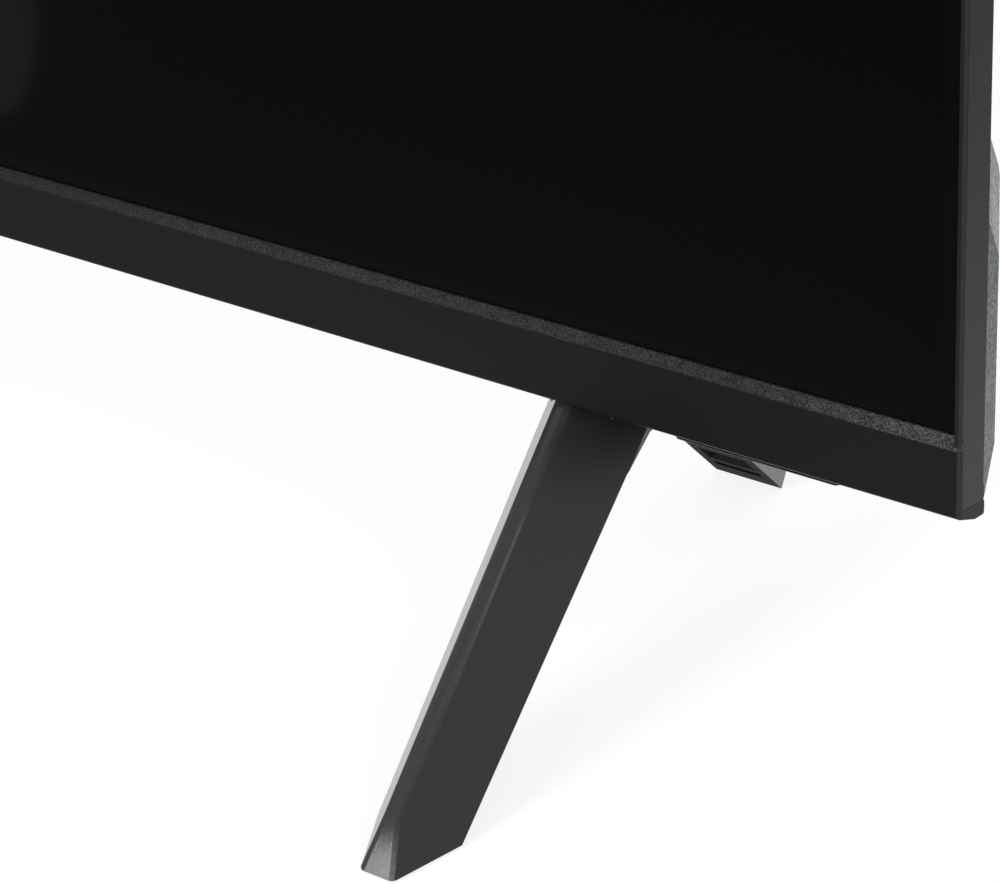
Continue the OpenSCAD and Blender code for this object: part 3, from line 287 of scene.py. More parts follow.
def moulded_grain():
    """Spark-eroded plastic: small rounded bumps with a little drift in colour and gloss."""
    tree, given, result = new_group(
        "Moulded grain",
        [("Colour", "Color", (0.02, 0.02, 0.02, 1)), ("Grain size", "Float", 0.5 * MM),
         ("Contrast", "Float", 0.2), ("Roughness", "Float", 0.5), ("Gloss drift", "Float", 0.08)],
        SURFACE_OUTPUTS,
    )
    place = object_place(tree)
    scale = reckon(tree, "DIVIDE", 1.0, given["Grain size"])
    fine = noise(tree, place, scale, detail=3.0, rough=0.62)
    cells = node(tree, "ShaderNodeTexVoronoi", feature="SMOOTH_F1")
    cell_scale = reckon(tree, "MULTIPLY", scale, BUMP_SCALE)
    set_inputs(tree, cells, Vector=place, Scale=cell_scale, Smoothness=BUMP_BLUR)
    bumps = reckon(tree, "SUBTRACT", 1.0, cells.outputs["Distance"])
    fine_height = reckon(tree, "MULTIPLY", fine, FINE_SHARE)
    height = reckon(tree, "ADD", fine_height, reckon(tree, "MULTIPLY", bumps, 1 - FINE_SHARE))
    drift = noise(tree, place, DRIFT_SCALE)
    lift = swayed(tree, 1.0, fine, reckon(tree, "MULTIPLY", given["Contrast"], GRAIN_SWAY))
    lift = swayed(tree, lift, drift, reckon(tree, "MULTIPLY", given["Contrast"], DRIFT_SWAY))
    gloss_sway = reckon(tree, "MULTIPLY", given["Gloss drift"], GRAIN_SWAY)
    gloss = swayed(tree, given["Roughness"], fine, gloss_sway)
    gloss = swayed(tree, gloss, drift, given["Gloss drift"], clamp=True)
    set_inputs(tree, result, Colour=shade(tree, given["Colour"], lift), Roughness=gloss, Height=height)
    return tree


# Scale of the patches against the grain, how much they thicken it, and the levels over which its
# pale tops rise.
PATCH_SCALE = 0.12
PATCH_SWAY = 0.25
TOPS_RISE = 0.42, 0.62
# How much smoother the tops are than the ground.
TOPS_GLOSS = 0.12


def coarse_speckle():
    """Coarse moulded texture: pale grain tops on a darker ground, thicker in some patches."""
    tree, given, result = new_group(
        "Coarse speckle",
        [("Colour", "Color", (0.01, 0.01, 0.01, 1)), ("Pale colour", "Color", (0.08, 0.08, 0.08, 1)),
         ("Grain size", "Float", 0.5 * MM), ("Roughness", "Float", 0.45)],
        SURFACE_OUTPUTS,
    )
    place = object_place(tree)
    scale = reckon(tree, "DIVIDE", 1.0, given["Grain size"])
    grain = noise(tree, place, scale, rough=0.6)
    patches = noise(tree, place, reckon(tree, "MULTIPLY", scale, PATCH_SCALE), detail=1.0)
    level = swayed(tree, grain, patches, PATCH_SWAY)
    tops = ramp(tree, level, *TOPS_RISE)
    colour = blend(tree, tops, given["Colour"], given["Pale colour"])
    gloss = reckon(tree, "MULTIPLY_ADD", tops, -TOPS_GLOSS, given["Roughness"], clamp=True)
    set_inputs(tree, result, Colour=colour, Roughness=gloss, Height=level)
    return tree


# Match of the rounded and the true normal where rubbing begins and is full, and the samples that
# round the normal.
RUB_MATCH = 0.999, 0.94
RUB_SAMPLES = 4
# Scale of the rubbed patches, and the noise levels over which they rise.
RUB_SCALE = 120.0
RUB_RISE = 0.36, 0.62


def rubbed_edges():
    """A broken lighter line where hands and cloths rub the outer edges; on the feet's ridges it is partly a
    painted highlight.
    """
    tree, given, result = new_group(
        "Rubbed edges",
        [("Colour", "Color", (0.02, 0.02, 0.02, 1)), ("Rubbed colour", "Color", (0.06, 0.06, 0.06, 1)),
         ("Amount", "Float", 0.5), ("Radius", "Float", 0.6 * MM)],
        [("Colour", "Color")],
    )
    round_normal = node(tree, "ShaderNodeBevel", samples=RUB_SAMPLES)
    set_inputs(tree, round_normal, Radius=given["Radius"])
    match = node(tree, "ShaderNodeVectorMath", operation="DOT_PRODUCT")
    feed(tree, round_normal.outputs[0], match.inputs[0])
    feed(tree, node(tree, "ShaderNodeNewGeometry").outputs["True Normal"], match.inputs[1])
    edge = ramp(tree, match.outputs["Value"], *RUB_MATCH)
    patches = ramp(tree, noise(tree, object_place(tree), RUB_SCALE, detail=3.0, rough=0.65), *RUB_RISE)
    rubbed = reckon(tree, "MULTIPLY", patches, given["Amount"])
    mask = reckon(tree, "MULTIPLY", edge, rubbed, clamp=True)
    set_inputs(tree, result, Colour=blend(tree, mask, given["Colour"], given["Rubbed colour"]))
    return tree


# Sideways part of the normal over which a corner's painted highlight sets in from the front, and from the
# side.
HIGHLIGHT_FRONT = 0.12, 0.75
HIGHLIGHT_SIDE = 0.995, 0.9
# Scale of the painted highlight's clouds, the least of it and what they add.
HIGHLIGHT_SCALE = 300.0
HIGHLIGHT_LEAST = 0.7
HIGHLIGHT_CLOUDS = 0.6


def worn_corner():
    """A painted highlight: a paler line along upright corners that are rounded between the front and a side.
    """
    tree, given, result = new_group(
        "Worn corner",
        [("Colour", "Color", (0.02, 0.02, 0.02, 1)), ("Worn colour", "Color", (0.06, 0.06, 0.06, 1))],
        [("Colour", "Color")],
    )
    normal = node(tree, "ShaderNodeNewGeometry").outputs["Normal"]
    sideways = reckon(tree, "ABSOLUTE", axes_of(tree, normal)[0])
    highlit = reckon(tree, "MULTIPLY", ramp(tree, sideways, *HIGHLIGHT_FRONT), ramp(tree, sideways, *HIGHLIGHT_SIDE))
    clouds = noise(tree, object_place(tree), HIGHLIGHT_SCALE, detail=3.0, rough=0.6)
    clouds = reckon(tree, "MULTIPLY_ADD", clouds, HIGHLIGHT_CLOUDS, HIGHLIGHT_LEAST)
    highlit = reckon(tree, "MULTIPLY", highlit, clouds, clamp=True)
    set_inputs(tree, result, Colour=blend(tree, highlit, given["Colour"], given["Worn colour"]))
    return tree


# Scales along each axis of streaks that run along one of them.
ALONG_X = (40.0, 900.0, 900.0)
ALONG_Y = (900.0, 40.0, 900.0)
ALONG_Z = (900.0, 900.0, 40.0)
# Scale of the clouds on metal, and how much the streaks and the clouds change its gloss.
CLOUD_SCALE = 30.0
STREAK_GLOSS = 0.16
CLOUD_GLOSS = 0.15


def drawn_metal():
    """Rolled or drawn metal: long fine streaks in colour, gloss and height."""
    tree, given, result = new_group(
        "Drawn metal",
        [("Colour", "Color", (0.6, 0.6, 0.6, 1)), ("Streaks", "Vector", ALONG_X),
         ("Contrast", "Float", 0.15), ("Roughness", "Float", 0.35)],
        SURFACE_OUTPUTS,
    )
    place = object_place(tree)
    streak = noise(tree, stretched(tree, place, given["Streaks"]), 1.0, detail=3.0, rough=0.6)
    clouds = noise(tree, place, CLOUD_SCALE)
    lift = swayed(tree, 1.0, streak, reckon(tree, "MULTIPLY", given["Contrast"], GRAIN_SWAY))
    gloss = swayed(tree, given["Roughness"], streak, STREAK_GLOSS)
    gloss = swayed(tree, gloss, clouds, CLOUD_GLOSS, clamp=True)
    set_inputs(tree, result, Colour=shade(tree, given["Colour"], lift), Roughness=gloss, Height=streak)
    return tree


def shared(make):
    """A shared effect by the function that makes it, made once."""
    name = make.__name__.replace("_", " ").capitalize()
    return bpy.data.node_groups.get(name) or make()


def place_group(tree, make, **values):
    """A shared effect placed in a material; a value's name is its socket's, with _ for a space."""
    made = node(tree, "ShaderNodeGroup", node_tree=shared(make))
    set_inputs(tree, made, **{key.capitalize(): value for key, value in values.items()})
    return made.outputs


def opaque(colour):
    """A colour with full alpha."""
    return (*tuple(colour)[:3], 1.0)


def new_material(slot, **sockets):
    """A slot's material with its shader's constant sockets set by their names, with _ for a space."""
    material = bpy.data.materials.new(FINISH_PREFIX + slot)
    material.use_nodes = True
    tree = material.node_tree
    shader = tree.nodes["Principled BSDF"]
    set_inputs(tree, shader, **sockets)
    return material, tree, shader


def lay(tree, shader, colour, roughness, height, depth, strength=1.0):
    """Lays a colour, a roughness and bumps of a depth on a shader's surface."""
    bumps = node(tree, "ShaderNodeBump")
    set_inputs(tree, bumps, Strength=strength, Distance=depth, Height=height)
    set_inputs(tree, shader, Base_Color=colour, Roughness=roughness, Normal=bumps.outputs[0])


# Finishes

# Depth and gloss drift of plain moulded grain, the colour of plain rubbed edges, and the depth of
# metal's streaks.
GRAIN_DEPTH = 0.03 * MM
GRAIN_DRIFT = 0.06
RUBBED_GREY = (0.07, 0.07, 0.07)
STREAK_DEPTH = 0.01 * MM


def grained_plastic(slot, colour, grain, contrast, roughness, depth=GRAIN_DEPTH, specular=0.4, rubbed=0.0,
                    rub_colour=RUBBED_GREY):
    """Moulded plastic with grain, and a rubbed line on its edges where asked."""
    material, tree, shader = new_material(slot, Specular_IOR_Level=specular)
    look = place_group(tree, moulded_grain, colour=opaque(colour), grain_size=grain, contrast=contrast,
                       roughness=roughness, gloss_drift=GRAIN_DRIFT)
    if rubbed:
        rub = place_group(tree, rubbed_edges, colour=look["Colour"], rubbed_colour=opaque(rub_colour),
                          amount=rubbed)
        lay(tree, shader, rub["Colour"], look["Roughness"], look["Height"], depth)
    else:
        lay(tree, shader, look["Colour"], look["Roughness"], look["Height"], depth)
    return material


def streaked_metal(slot, colour, streaks, contrast=0.12, roughness=0.35):
    """Bare metal with fine drawn streaks."""
    material, tree, shader = new_material(slot, Metallic=1.0)
    look = place_group(tree, drawn_metal, colour=opaque(colour), streaks=streaks, contrast=contrast,
                       roughness=roughness)
    lay(tree, shader, look["Colour"], look["Roughness"], look["Height"], STREAK_DEPTH)
    return material


# Height of the grained lip, and half the height over which its grain sets in.
LIP_HEIGHT = 2.3 * MM
LIP_BLUR = 0.1 * MM
# Distances from the set's middle over which painted light makes the lip paler, broadly and then strongly
# near the ends, and how steeply the strong part does.
LIP_LIGHT_SPAN = 0.12, 0.32
LIP_END_LIGHT = 0.31, 0.361
END_LIGHT_CURVE = 1.5
# The lip's tone in the middle, and what the broad and the end's painted light add to it.
LIP_TONE = 0.15
SPAN_LIGHT_TONE = 0.4
END_LIGHT_TONE = 1.2
# Height of the lip's grain in the middle, what the broad span adds to it, and the height of the face's
# grain.
LIP_RISE = 0.35
SPAN_RISE = 0.65
FACE_RISE = 0.08


def bezel_finish():
    """Satin bezel face with a painted highlight on its rounded corners, and a coarse grained lip along its
    top, rougher towards the ends and made paler there by painted light.
    """
    finish = settings()
    lip_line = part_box("bottom_bezel")[1].z - LIP_HEIGHT
    material, tree, shader = new_material("bezel_plastic", Specular_IOR_Level=0.1)
    across, _, height = axes_of(tree, object_place(tree))
    on_lip = ramp(tree, height, lip_line - LIP_BLUR, lip_line + LIP_BLUR)
    face = place_group(tree, moulded_grain, colour=opaque(finish.bezel_colour), grain_size=finish.fine_grain,
                       contrast=0.12, roughness=0.5, gloss_drift=0.05)
    # Painted highlight on the bezel's rounded upright corners.
    highlit = place_group(tree, worn_corner, colour=face["Colour"], worn_colour=opaque(finish.worn_colour))
    lip = place_group(tree, coarse_speckle, colour=opaque(finish.lip_colour),
                      pale_colour=opaque(finish.lip_pale), grain_size=finish.lip_grain, roughness=0.44)
    # Painted light: the lip's colour is made paler towards both ends, broadly and then strongly near the
    # corners.
    away = reckon(tree, "ABSOLUTE", across)
    light_and_rub = ramp(tree, away, *LIP_LIGHT_SPAN)
    end_light = reckon(tree, "POWER", ramp(tree, away, *LIP_END_LIGHT), END_LIGHT_CURVE)
    tone = reckon(tree, "MULTIPLY_ADD", light_and_rub, SPAN_LIGHT_TONE, LIP_TONE)
    tone = reckon(tree, "MULTIPLY_ADD", end_light, END_LIGHT_TONE, tone)
    colour = blend(tree, on_lip, highlit["Colour"], shade(tree, lip["Colour"], tone))
    gloss = mix(tree, "FLOAT", on_lip, face["Roughness"], lip["Roughness"])
    rise = reckon(tree, "MULTIPLY_ADD", light_and_rub, SPAN_RISE, LIP_RISE)
    lip_bumps = reckon(tree, "MULTIPLY", reckon(tree, "MULTIPLY", lip["Height"], rise), on_lip)
    bumps = reckon(tree, "ADD", reckon(tree, "MULTIPLY", face["Height"], FACE_RISE), lip_bumps)
    lay(tree, shader, colour, gloss, bumps, depth=0.14 * MM)
    return material


# Scales along each axis of the drawn lines under the frames' paint, and how much they show.
PAINT_LINES = (1500.0, 1500.0, 12.0)
LINE_SWAY = 0.12


def frame_finish():
    """Satin paint on the thin metal frames, with faint drawn lines under it."""
    finish = settings()
    material, tree, shader = new_material("frame_metal", Specular_IOR_Level=0.1)
    paint = place_group(tree, moulded_grain, colour=opaque(finish.frame_colour),
                        grain_size=finish.fine_grain, contrast=0.1, roughness=0.42, gloss_drift=0.05)
    lines = noise(tree, stretched(tree, object_place(tree), PAINT_LINES), 1.0)
    lined = shade(tree, paint["Colour"], swayed(tree, 1.0, lines, LINE_SWAY))
    # Painted highlight on the frames' rounded upright corners.
    highlit = place_group(tree, worn_corner, colour=lined, worn_colour=opaque(finish.worn_colour))
    rub = place_group(tree, rubbed_edges, colour=highlit["Colour"], rubbed_colour=(0.04, 0.04, 0.041, 1),
                      amount=0.3, radius=0.3 * MM)
    lay(tree, shader, rub["Colour"], paint["Roughness"], paint["Height"], depth=0.012 * MM)
    return material


# Width of the panel's border, the way over which it turns into the picture area, and how much paler
# it is.
SCREEN_BORDER = 2.6 * MM
BORDER_BLUR = 0.25 * MM
BORDER_TONE = 1.5
# Scale and strength of the picture area's mottle.
MOTTLE_SCALE = 900.0
MOTTLE_SWAY = 0.3
# The panel's roughness, and the scale and strength of the haze that changes it.
SCREEN_GLOSS = 0.1
HAZE_SCALE = 2500.0
HAZE_SWAY = 0.06


def screen_finish():
    """Dark anti-glare panel: a picture area inside a slightly paler border."""
    finish = settings()
    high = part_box("lcd_panel")[1]
    lip_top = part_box("bottom_bezel")[1].z
    middle = (lip_top + high.z) / 2
    half_width = high.x - SCREEN_BORDER
    half_height = (high.z - lip_top) / 2 - SCREEN_BORDER
    material, tree, shader = new_material("screen", Specular_IOR_Level=0.025)
    place = object_place(tree)
    across, _, height = axes_of(tree, place)
    from_middle = reckon(tree, "ABSOLUTE", reckon(tree, "SUBTRACT", height, middle))
    from_side = reckon(tree, "SUBTRACT", half_width, reckon(tree, "ABSOLUTE", across))
    from_top = reckon(tree, "SUBTRACT", half_height, from_middle)
    inside = ramp(tree, reckon(tree, "MINIMUM", from_side, from_top), 0.0, BORDER_BLUR)
    mottle = noise(tree, place, MOTTLE_SCALE)
    picture = shade(tree, opaque(finish.screen_colour), swayed(tree, 1.0, mottle, MOTTLE_SWAY))
    border = opaque(value * BORDER_TONE for value in finish.screen_colour)
    haze = noise(tree, place, HAZE_SCALE, detail=1.0)
    gloss = swayed(tree, SCREEN_GLOSS, haze, HAZE_SWAY)
    lay(tree, shader, blend(tree, inside, border, picture), gloss, haze, depth=0.002 * MM, strength=0.4)
    return material


# Heights on the legs over which something grows from none to full: rubbing of the ridges, partly a painted
# highlight, from above and from below; painted shade on them at their tops; and scuffing of the toes, partly
# a painted highlight.
RUB_TOP = 52 * MM, 46 * MM
RUB_FOOT = 13 * MM, 43 * MM
PAINTED_SHADE_RISE = 53 * MM, 59 * MM
SCUFF_TOP = 9.5 * MM, 1.5 * MM
# Sideways part of a face's normal over which a leg's strip, and then its flank, gives way to a ridge.
STRIP_END = 0.06, 0.15
FLANK_END = 0.82, 0.78
# Part of the normal to the front or rear at which a face is a toe's tip, and what the outer side adds to it.
TIP_START = 0.785, 0.81
TIP_SIDE = 0.3
# How strongly rubbing, partly a painted highlight, and painted shade show on the ridges.
RUB_AMOUNT = 0.95
PAINTED_SHADE_AMOUNT = 0.65
# Roughness that a ridge has beyond the rest of the leg, and how much of it rubbing takes away.
RIDGE_DULL = 0.45
RUB_POLISH = 0.38
# Scale of the toe's scuffing and painted highlight, the noise levels over which they rise, the least of them
# and what the noise adds.
SCUFF_SCALE = 900.0
SCUFF_RISE = 0.3, 0.7
SCUFF_LEAST = 0.4
SCUFF_MOTTLE = 0.6
# Roughness and height that scuffs add.
SCUFF_DULL = 0.2
SCUFF_HEIGHT = 2.0


def foot_finish():
    """Satin moulded plastic; ridges rubbed halfway up and scuffed toes are partly painted highlight; painted
    shade tops the ridges.
    """
    finish = settings()
    material, tree, shader = new_material("foot_plastic", Specular_IOR_Level=0.32)
    look = place_group(tree, moulded_grain, colour=opaque(finish.foot_colour), grain_size=finish.fine_grain,
                       contrast=0.16, roughness=0.22, gloss_drift=0.04)
    place = object_place(tree)
    across, _, height = axes_of(tree, place)
    # The ridges' rubbed line, partly wear and partly a painted highlight, fades out towards the top and the
    # floor.
    light_and_rub = reckon(tree, "MULTIPLY", ramp(tree, height, *RUB_TOP), ramp(tree, height, *RUB_FOOT))
    rub = place_group(tree, rubbed_edges, colour=look["Colour"], rubbed_colour=opaque(finish.rub_colour),
                      amount=reckon(tree, "MULTIPLY", light_and_rub, RUB_AMOUNT), radius=0.5 * MM)
    normal = axes_of(tree, node(tree, "ShaderNodeNewGeometry").outputs["True Normal"])
    sideways = reckon(tree, "ABSOLUTE", normal[0])
    ridge = reckon(tree, "MULTIPLY", ramp(tree, sideways, *STRIP_END), ramp(tree, sideways, *FLANK_END))
    # Painted shade: the ridges darken at their tops, where the legs meet the set.
    painted_shade = reckon(tree, "MULTIPLY", ridge, ramp(tree, height, *PAINTED_SHADE_RISE))
    base = shade(tree, rub["Colour"], reckon(tree, "MULTIPLY_ADD", painted_shade, -PAINTED_SHADE_AMOUNT, 1.0))
    outward = reckon(tree, "MULTIPLY", normal[0], reckon(tree, "SIGN", across), clamp=True)
    facing = reckon(tree, "MULTIPLY_ADD", outward, TIP_SIDE, reckon(tree, "ABSOLUTE", normal[1]))
    # The toe tips near the floor turn pale: partly scuffing, partly a painted highlight.
    near_floor = ramp(tree, height, *SCUFF_TOP)
    tip = reckon(tree, "MULTIPLY", ramp(tree, facing, *TIP_START), near_floor)
    mottle = ramp(tree, noise(tree, place, SCUFF_SCALE, detail=4.0, rough=0.65), *SCUFF_RISE)
    marks = reckon(tree, "MULTIPLY_ADD", mottle, SCUFF_MOTTLE, SCUFF_LEAST)
    scuffs_and_highlight = reckon(tree, "MULTIPLY", tip, marks)
    colour = blend(tree, scuffs_and_highlight, base, opaque(finish.scuff_colour))
    dull = reckon(tree, "MULTIPLY_ADD", light_and_rub, -RUB_POLISH, RIDGE_DULL)
    gloss = reckon(tree, "MULTIPLY_ADD", ridge, dull, look["Roughness"])
    gloss = reckon(tree, "MULTIPLY_ADD", scuffs_and_highlight, SCUFF_DULL, gloss, clamp=True)
    bumps = reckon(tree, "MULTIPLY_ADD", scuffs_and_highlight, SCUFF_HEIGHT, look["Height"])
    lay(tree, shader, colour, gloss, bumps, depth=0.008 * MM)
    return material


def foot_inside_finish():
    """Rough plastic on the feet's inner faces, with a darker colour that is painted shade."""
    return grained_plastic("foot_inside", settings().foot_inside, 0.5 * MM, contrast=0.3, roughness=0.8,
                           specular=0.1)


def cover_finish():
    """Rear cover with a coarse moulded texture."""
    finish = settings()
    material, tree, shader = new_material("cover_plastic", Specular_IOR_Level=0.5)
    look = place_group(tree, coarse_speckle, colour=opaque(finish.cover_colour),
                       pale_colour=opaque(finish.cover_pale), grain_size=finish.cover_grain, roughness=0.36)
    rub = place_group(tree, rubbed_edges, colour=look["Colour"], rubbed_colour=opaque(RUBBED_GREY),
                      amount=0.3)
    lay(tree, shader, rub["Colour"], look["Roughness"], look["Height"], depth=0.14 * MM)
    return material


def black_finish():
    """Black moulded plastic of the button, the jacks and the inlet, with rubbed edges."""
    return grained_plastic("black_plastic", (0.012, 0.012, 0.0125), settings().fine_grain, contrast=0.25,
                           roughness=0.45, specular=0.5, rubbed=0.4)


# Distance from a land's middle over which the mask gives way to copper, the mask's roughness, and how
# much smoother copper is.
LAND_EDGE = 0.2, 0.14
MASK_ROUGH = 0.4
LAND_GLOSS = 0.1


def circuit_finish():
    """Solder mask with printed tracks and copper lands."""
    material, tree, shader = new_material("circuit_board", Specular_IOR_Level=0.5)
    place = object_place(tree)
    upright = node(tree, "ShaderNodeVectorRotate", rotation_type="X_AXIS")
    set_inputs(tree, upright, Vector=place, Angle=math.radians(90))
    tracks = node(tree, "ShaderNodeTexBrick", offset=0.37, squash=0.8)
    set_inputs(tree, tracks, Vector=upright.outputs[0], Scale=260.0, Mortar_Size=0.05,
               Color1=(0.012, 0.10, 0.045, 1), Color2=(0.010, 0.085, 0.04, 1), Mortar=(0.02, 0.17, 0.075, 1))
    spots = node(tree, "ShaderNodeTexVoronoi")
    set_inputs(tree, spots, Vector=place, Scale=380.0)
    lands = ramp(tree, spots.outputs["Distance"], *LAND_EDGE)
    colour = blend(tree, lands, tracks.outputs["Color"], (0.55, 0.5, 0.36, 1))
    gloss = reckon(tree, "MULTIPLY_ADD", lands, -LAND_GLOSS, MASK_ROUGH)
    lay(tree, shader, colour, gloss, tracks.outputs["Fac"], depth=0.03 * MM)
    return material


# Scale of the lenses' swirl, the least tone and roughness, and what the swirl adds to them.
SWIRL_SCALE = 600.0
LENS_TONE = 0.92
SWIRL_TONE = 0.06
LENS_ROUGH = 0.05
SWIRL_ROUGH = 0.1


def lens_finish():
    """Clear moulded lens with a faint swirl."""
    material, tree, shader = new_material("lens", IOR=1.49, Transmission_Weight=0.9)
    swirl = noise(tree, object_place(tree), SWIRL_SCALE)
    tone = reckon(tree, "MULTIPLY_ADD", swirl, SWIRL_TONE, LENS_TONE)
    gloss = reckon(tree, "MULTIPLY_ADD", swirl, SWIRL_ROUGH, LENS_ROUGH)
    set_inputs(tree, shader, Base_Color=shade(tree, (1, 1, 1, 1), tone), Roughness=gloss)
    return material


SPECIAL_FINISHES = {
    "bezel_plastic": bezel_finish,
    "frame_metal": frame_finish,
    "screen": screen_finish,
    "foot_plastic": foot_finish,
    "foot_inside": foot_inside_finish,
    "cover_plastic": cover_finish,
    "black_plastic": black_finish,
    "circuit_board": circuit_finish,
    "lens": lens_finish,
}

# Plastics, papers and coatings that differ only in their values, by the record's slot names.
PLASTICS = {
    "flex": dict(colour=(0.36, 0.17, 0.035), grain=0.3 * MM, contrast=0.15, roughness=0.3, specular=0.5),
    "ribbon": dict(colour=(0.7, 0.7, 0.68), grain=0.5 * MM, contrast=0.08, roughness=0.4, specular=0.5),
    "inner_plastic": dict(colour=(0.02, 0.02, 0.02), grain=0.3 * MM, contrast=0.2, roughness=0.55),
    "optical_sheet": dict(colour=(0.8, 0.81, 0.82), grain=0.1 * MM, contrast=0.05, roughness=0.45),
    "reflector": dict(colour=(0.88, 0.88, 0.87), grain=0.2 * MM, contrast=0.05, roughness=0.6),
    "light_bar": dict(colour=(0.8, 0.8, 0.76), grain=0.2 * MM, contrast=0.08, roughness=0.45),
    "winding": dict(colour=(0.55, 0.36, 0.03), grain=0.4 * MM, contrast=0.2, roughness=0.35, specular=0.5),
    "can": dict(colour=(0.02, 0.024, 0.05), grain=0.3 * MM, contrast=0.15, roughness=0.3, specular=0.5),
    "cone_paper": dict(colour=(0.03, 0.03, 0.03), grain=0.6 * MM, contrast=0.4, roughness=0.8),
    "pad_rubber": dict(colour=(0.012, 0.012, 0.012), grain=0.35 * MM, contrast=0.3, roughness=0.85,
                       specular=0.25),
    "sensor_red": dict(colour=(0.05, 0.003, 0.005), grain=0.2 * MM, contrast=0.15, roughness=0.12,
                       depth=0.004 * MM, specular=0.5),
    "dark_screw": dict(colour=(0.015, 0.015, 0.015), grain=0.15 * MM, contrast=0.3, roughness=0.4,
                       specular=0.5, rubbed=0.9, rub_colour=(0.2, 0.2, 0.2)),
}

# Bare metals, by the record's slot names.
METALS = {
    "tray_steel": dict(colour=(0.52, 0.53, 0.54), streaks=ALONG_X),
    "screw_steel": dict(colour=(0.6, 0.6, 0.59), streaks=ALONG_Z),
    "sleeve_metal": dict(colour=(0.6, 0.59, 0.56), streaks=ALONG_Z),
    "sink": dict(colour=(0.62, 0.62, 0.63), streaks=ALONG_Z),
    "socket_metal": dict(colour=(0.66, 0.65, 0.63), streaks=ALONG_Y, contrast=0.1, roughness=0.25),
}


def slot_of(name):
    """The record's material slot of a CAD node."""
    for part in frame["record"]["subparts"]:
        if part["node"] == name:
            return part["material_slot"]
    raise RuntimeError(f"the record has no node named {name}")


def finish_for(slot):
    """The finish of a material slot, made once."""
    made = bpy.data.materials.get(FINISH_PREFIX + slot)
    if made:
        return made
    if slot in SPECIAL_FINISHES:
        return SPECIAL_FINISHES[slot]()
    if slot in METALS:
        return streaked_metal(slot, **METALS[slot])
    return grained_plastic(slot, **PLASTICS[slot])


def coat(thing, slot):
    """Gives an object one finish all over."""
    thing.data.materials.clear()
    thing.data.materials.append(finish_for(slot))


def dress(*names):
    """Gives CAD nodes the finishes of their slots."""
    for name in names:
        coat(frame["nodes"][name], slot_of(name))


# Rounded pieces

# Points nearer than this are one point.
WELD = 0.002 * MM
# Faces that turn by less than this are one flat face.
FLAT_ANGLE = math.radians(0.6)
# Edges that turn by more than this can be rounded.
SHARP_ANGLE = math.radians(24)
# Edges that turn by more than this are shaded sharp.
SMOOTH_ANGLE = math.radians(32)
# A face whose upward part is below this is an underside.
UNDERSIDE = -0.04
# A face whose upward part is above this belongs to the outside of a leg.
UPWARD = 0.2
# A face whose rearward part is above this belongs to the outside of the rear cover.
REARWARD = 0.03
# Edges longer than these are a leg's ridges and the rear cover's outer edges.
RIDGE_LENGTH = 8 * MM
BACK_LENGTH = 26.5 * MM
# How far the bezel's notch for a foot's neck reaches to each side of the foot's middle.
NOTCH_REACH = 12 * MM
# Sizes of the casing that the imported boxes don't give.
FRAME_WALL = 1.2 * MM
SEAT_GAP = 0.1 * MM


def add_object(name, data):
    """A new object in the scene."""
    made = bpy.data.objects.new(name, data)
    bpy.context.scene.collection.objects.link(made)
    return made


def mesh_object(name, bm):
    """A new object in the scene from a bmesh, which is used up."""
    mesh = bpy.data.meshes.new(name)
    bm.to_mesh(mesh)
    bm.free()
    return add_object(name, mesh)


def clean_solid(name):
    """A CAD node's solid as a bmesh with whole flat faces."""
    bm = bmesh.new()
    bm.from_mesh(frame["nodes"][name].data)
    bmesh.ops.remove_doubles(bm, verts=bm.verts, dist=WELD)
    bmesh.ops.dissolve_limit(bm, angle_limit=FLAT_ANGLE, verts=bm.verts, edges=bm.edges)
    bm.normal_update()
    return bm


def round_edges(bm, size, chosen, keeps_clear=True):
    """Rounds those sharp edges of a bmesh that are chosen, by less where they crowd if it keeps clear."""
    sharp = [
        edge for edge in bm.edges
        if edge.is_manifold and edge.calc_face_angle(0) > SHARP_ANGLE and chosen(edge)
    ]
    bmesh.ops.bevel(
        bm, geom=sharp, offset=size, offset_type="OFFSET", segments=settings().round_steps, profile=0.5,
        affect="EDGES", clamp_overlap=keeps_clear,
    )
    bm.normal_update()


def rounded_piece(name, *roundings):
    """A piece that stands for a CAD node of the set, rounded in turn by sizes and choices of edges."""
    bm = clean_solid(name)
    for rounding in roundings:
        round_edges(bm, *rounding)
    piece = mesh_object(name + "_shell", bm)
    piece.data.polygons.foreach_set("use_smooth", [True] * len(piece.data.polygons))
    piece.data.set_sharp_from_angle(angle=SMOOTH_ANGLE)
    slot = slot_of(name)
    coat(piece, slot)
    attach(piece, SET_BODY)
    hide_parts(name)
    steady = piece.modifiers.new("Even shading", "WEIGHTED_NORMAL")
    steady.keep_sharp = True
    return piece


def every_edge(edge):
    """The choice of all edges."""
    return True


def is_ridge(edge):
    """Whether an edge runs along the outside of a leg: long, and with both faces looking upward."""
    outside = all(face.normal.z > UPWARD for face in edge.link_faces)
    return outside and edge.is_convex and edge.calc_length() > RIDGE_LENGTH


def is_back_edge(edge):
    """Whether an edge is one of the rear cover's long outer edges."""
    outside = all(face.normal.y > REARWARD for face in edge.link_faces)
    return outside and edge.is_convex and edge.calc_length() > BACK_LENGTH


def beside_foot(edge):
    """Whether an edge belongs to the notch in which a foot's neck stands."""
    low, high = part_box("right_foot")
    middle = (low.x + high.x) / 2
    return all(abs(abs(vert.co.x) - middle) < NOTCH_REACH for vert in edge.verts)


def lies_at(edge, distance):
    """Whether an edge lies in one of the two upright planes at a distance from the middle."""
    return all(abs(abs(vert.co.x) - distance) < 2 * WELD for vert in edge.verts)


class DressScreen(bpy.types.Operator):
    """Gives the panel its dark picture area and border"""

    bl_idname = "television.dress_screen"
    bl_label = "Screen"

    def execute(self, context):
        dress("lcd_panel")
        return {"FINISHED"}


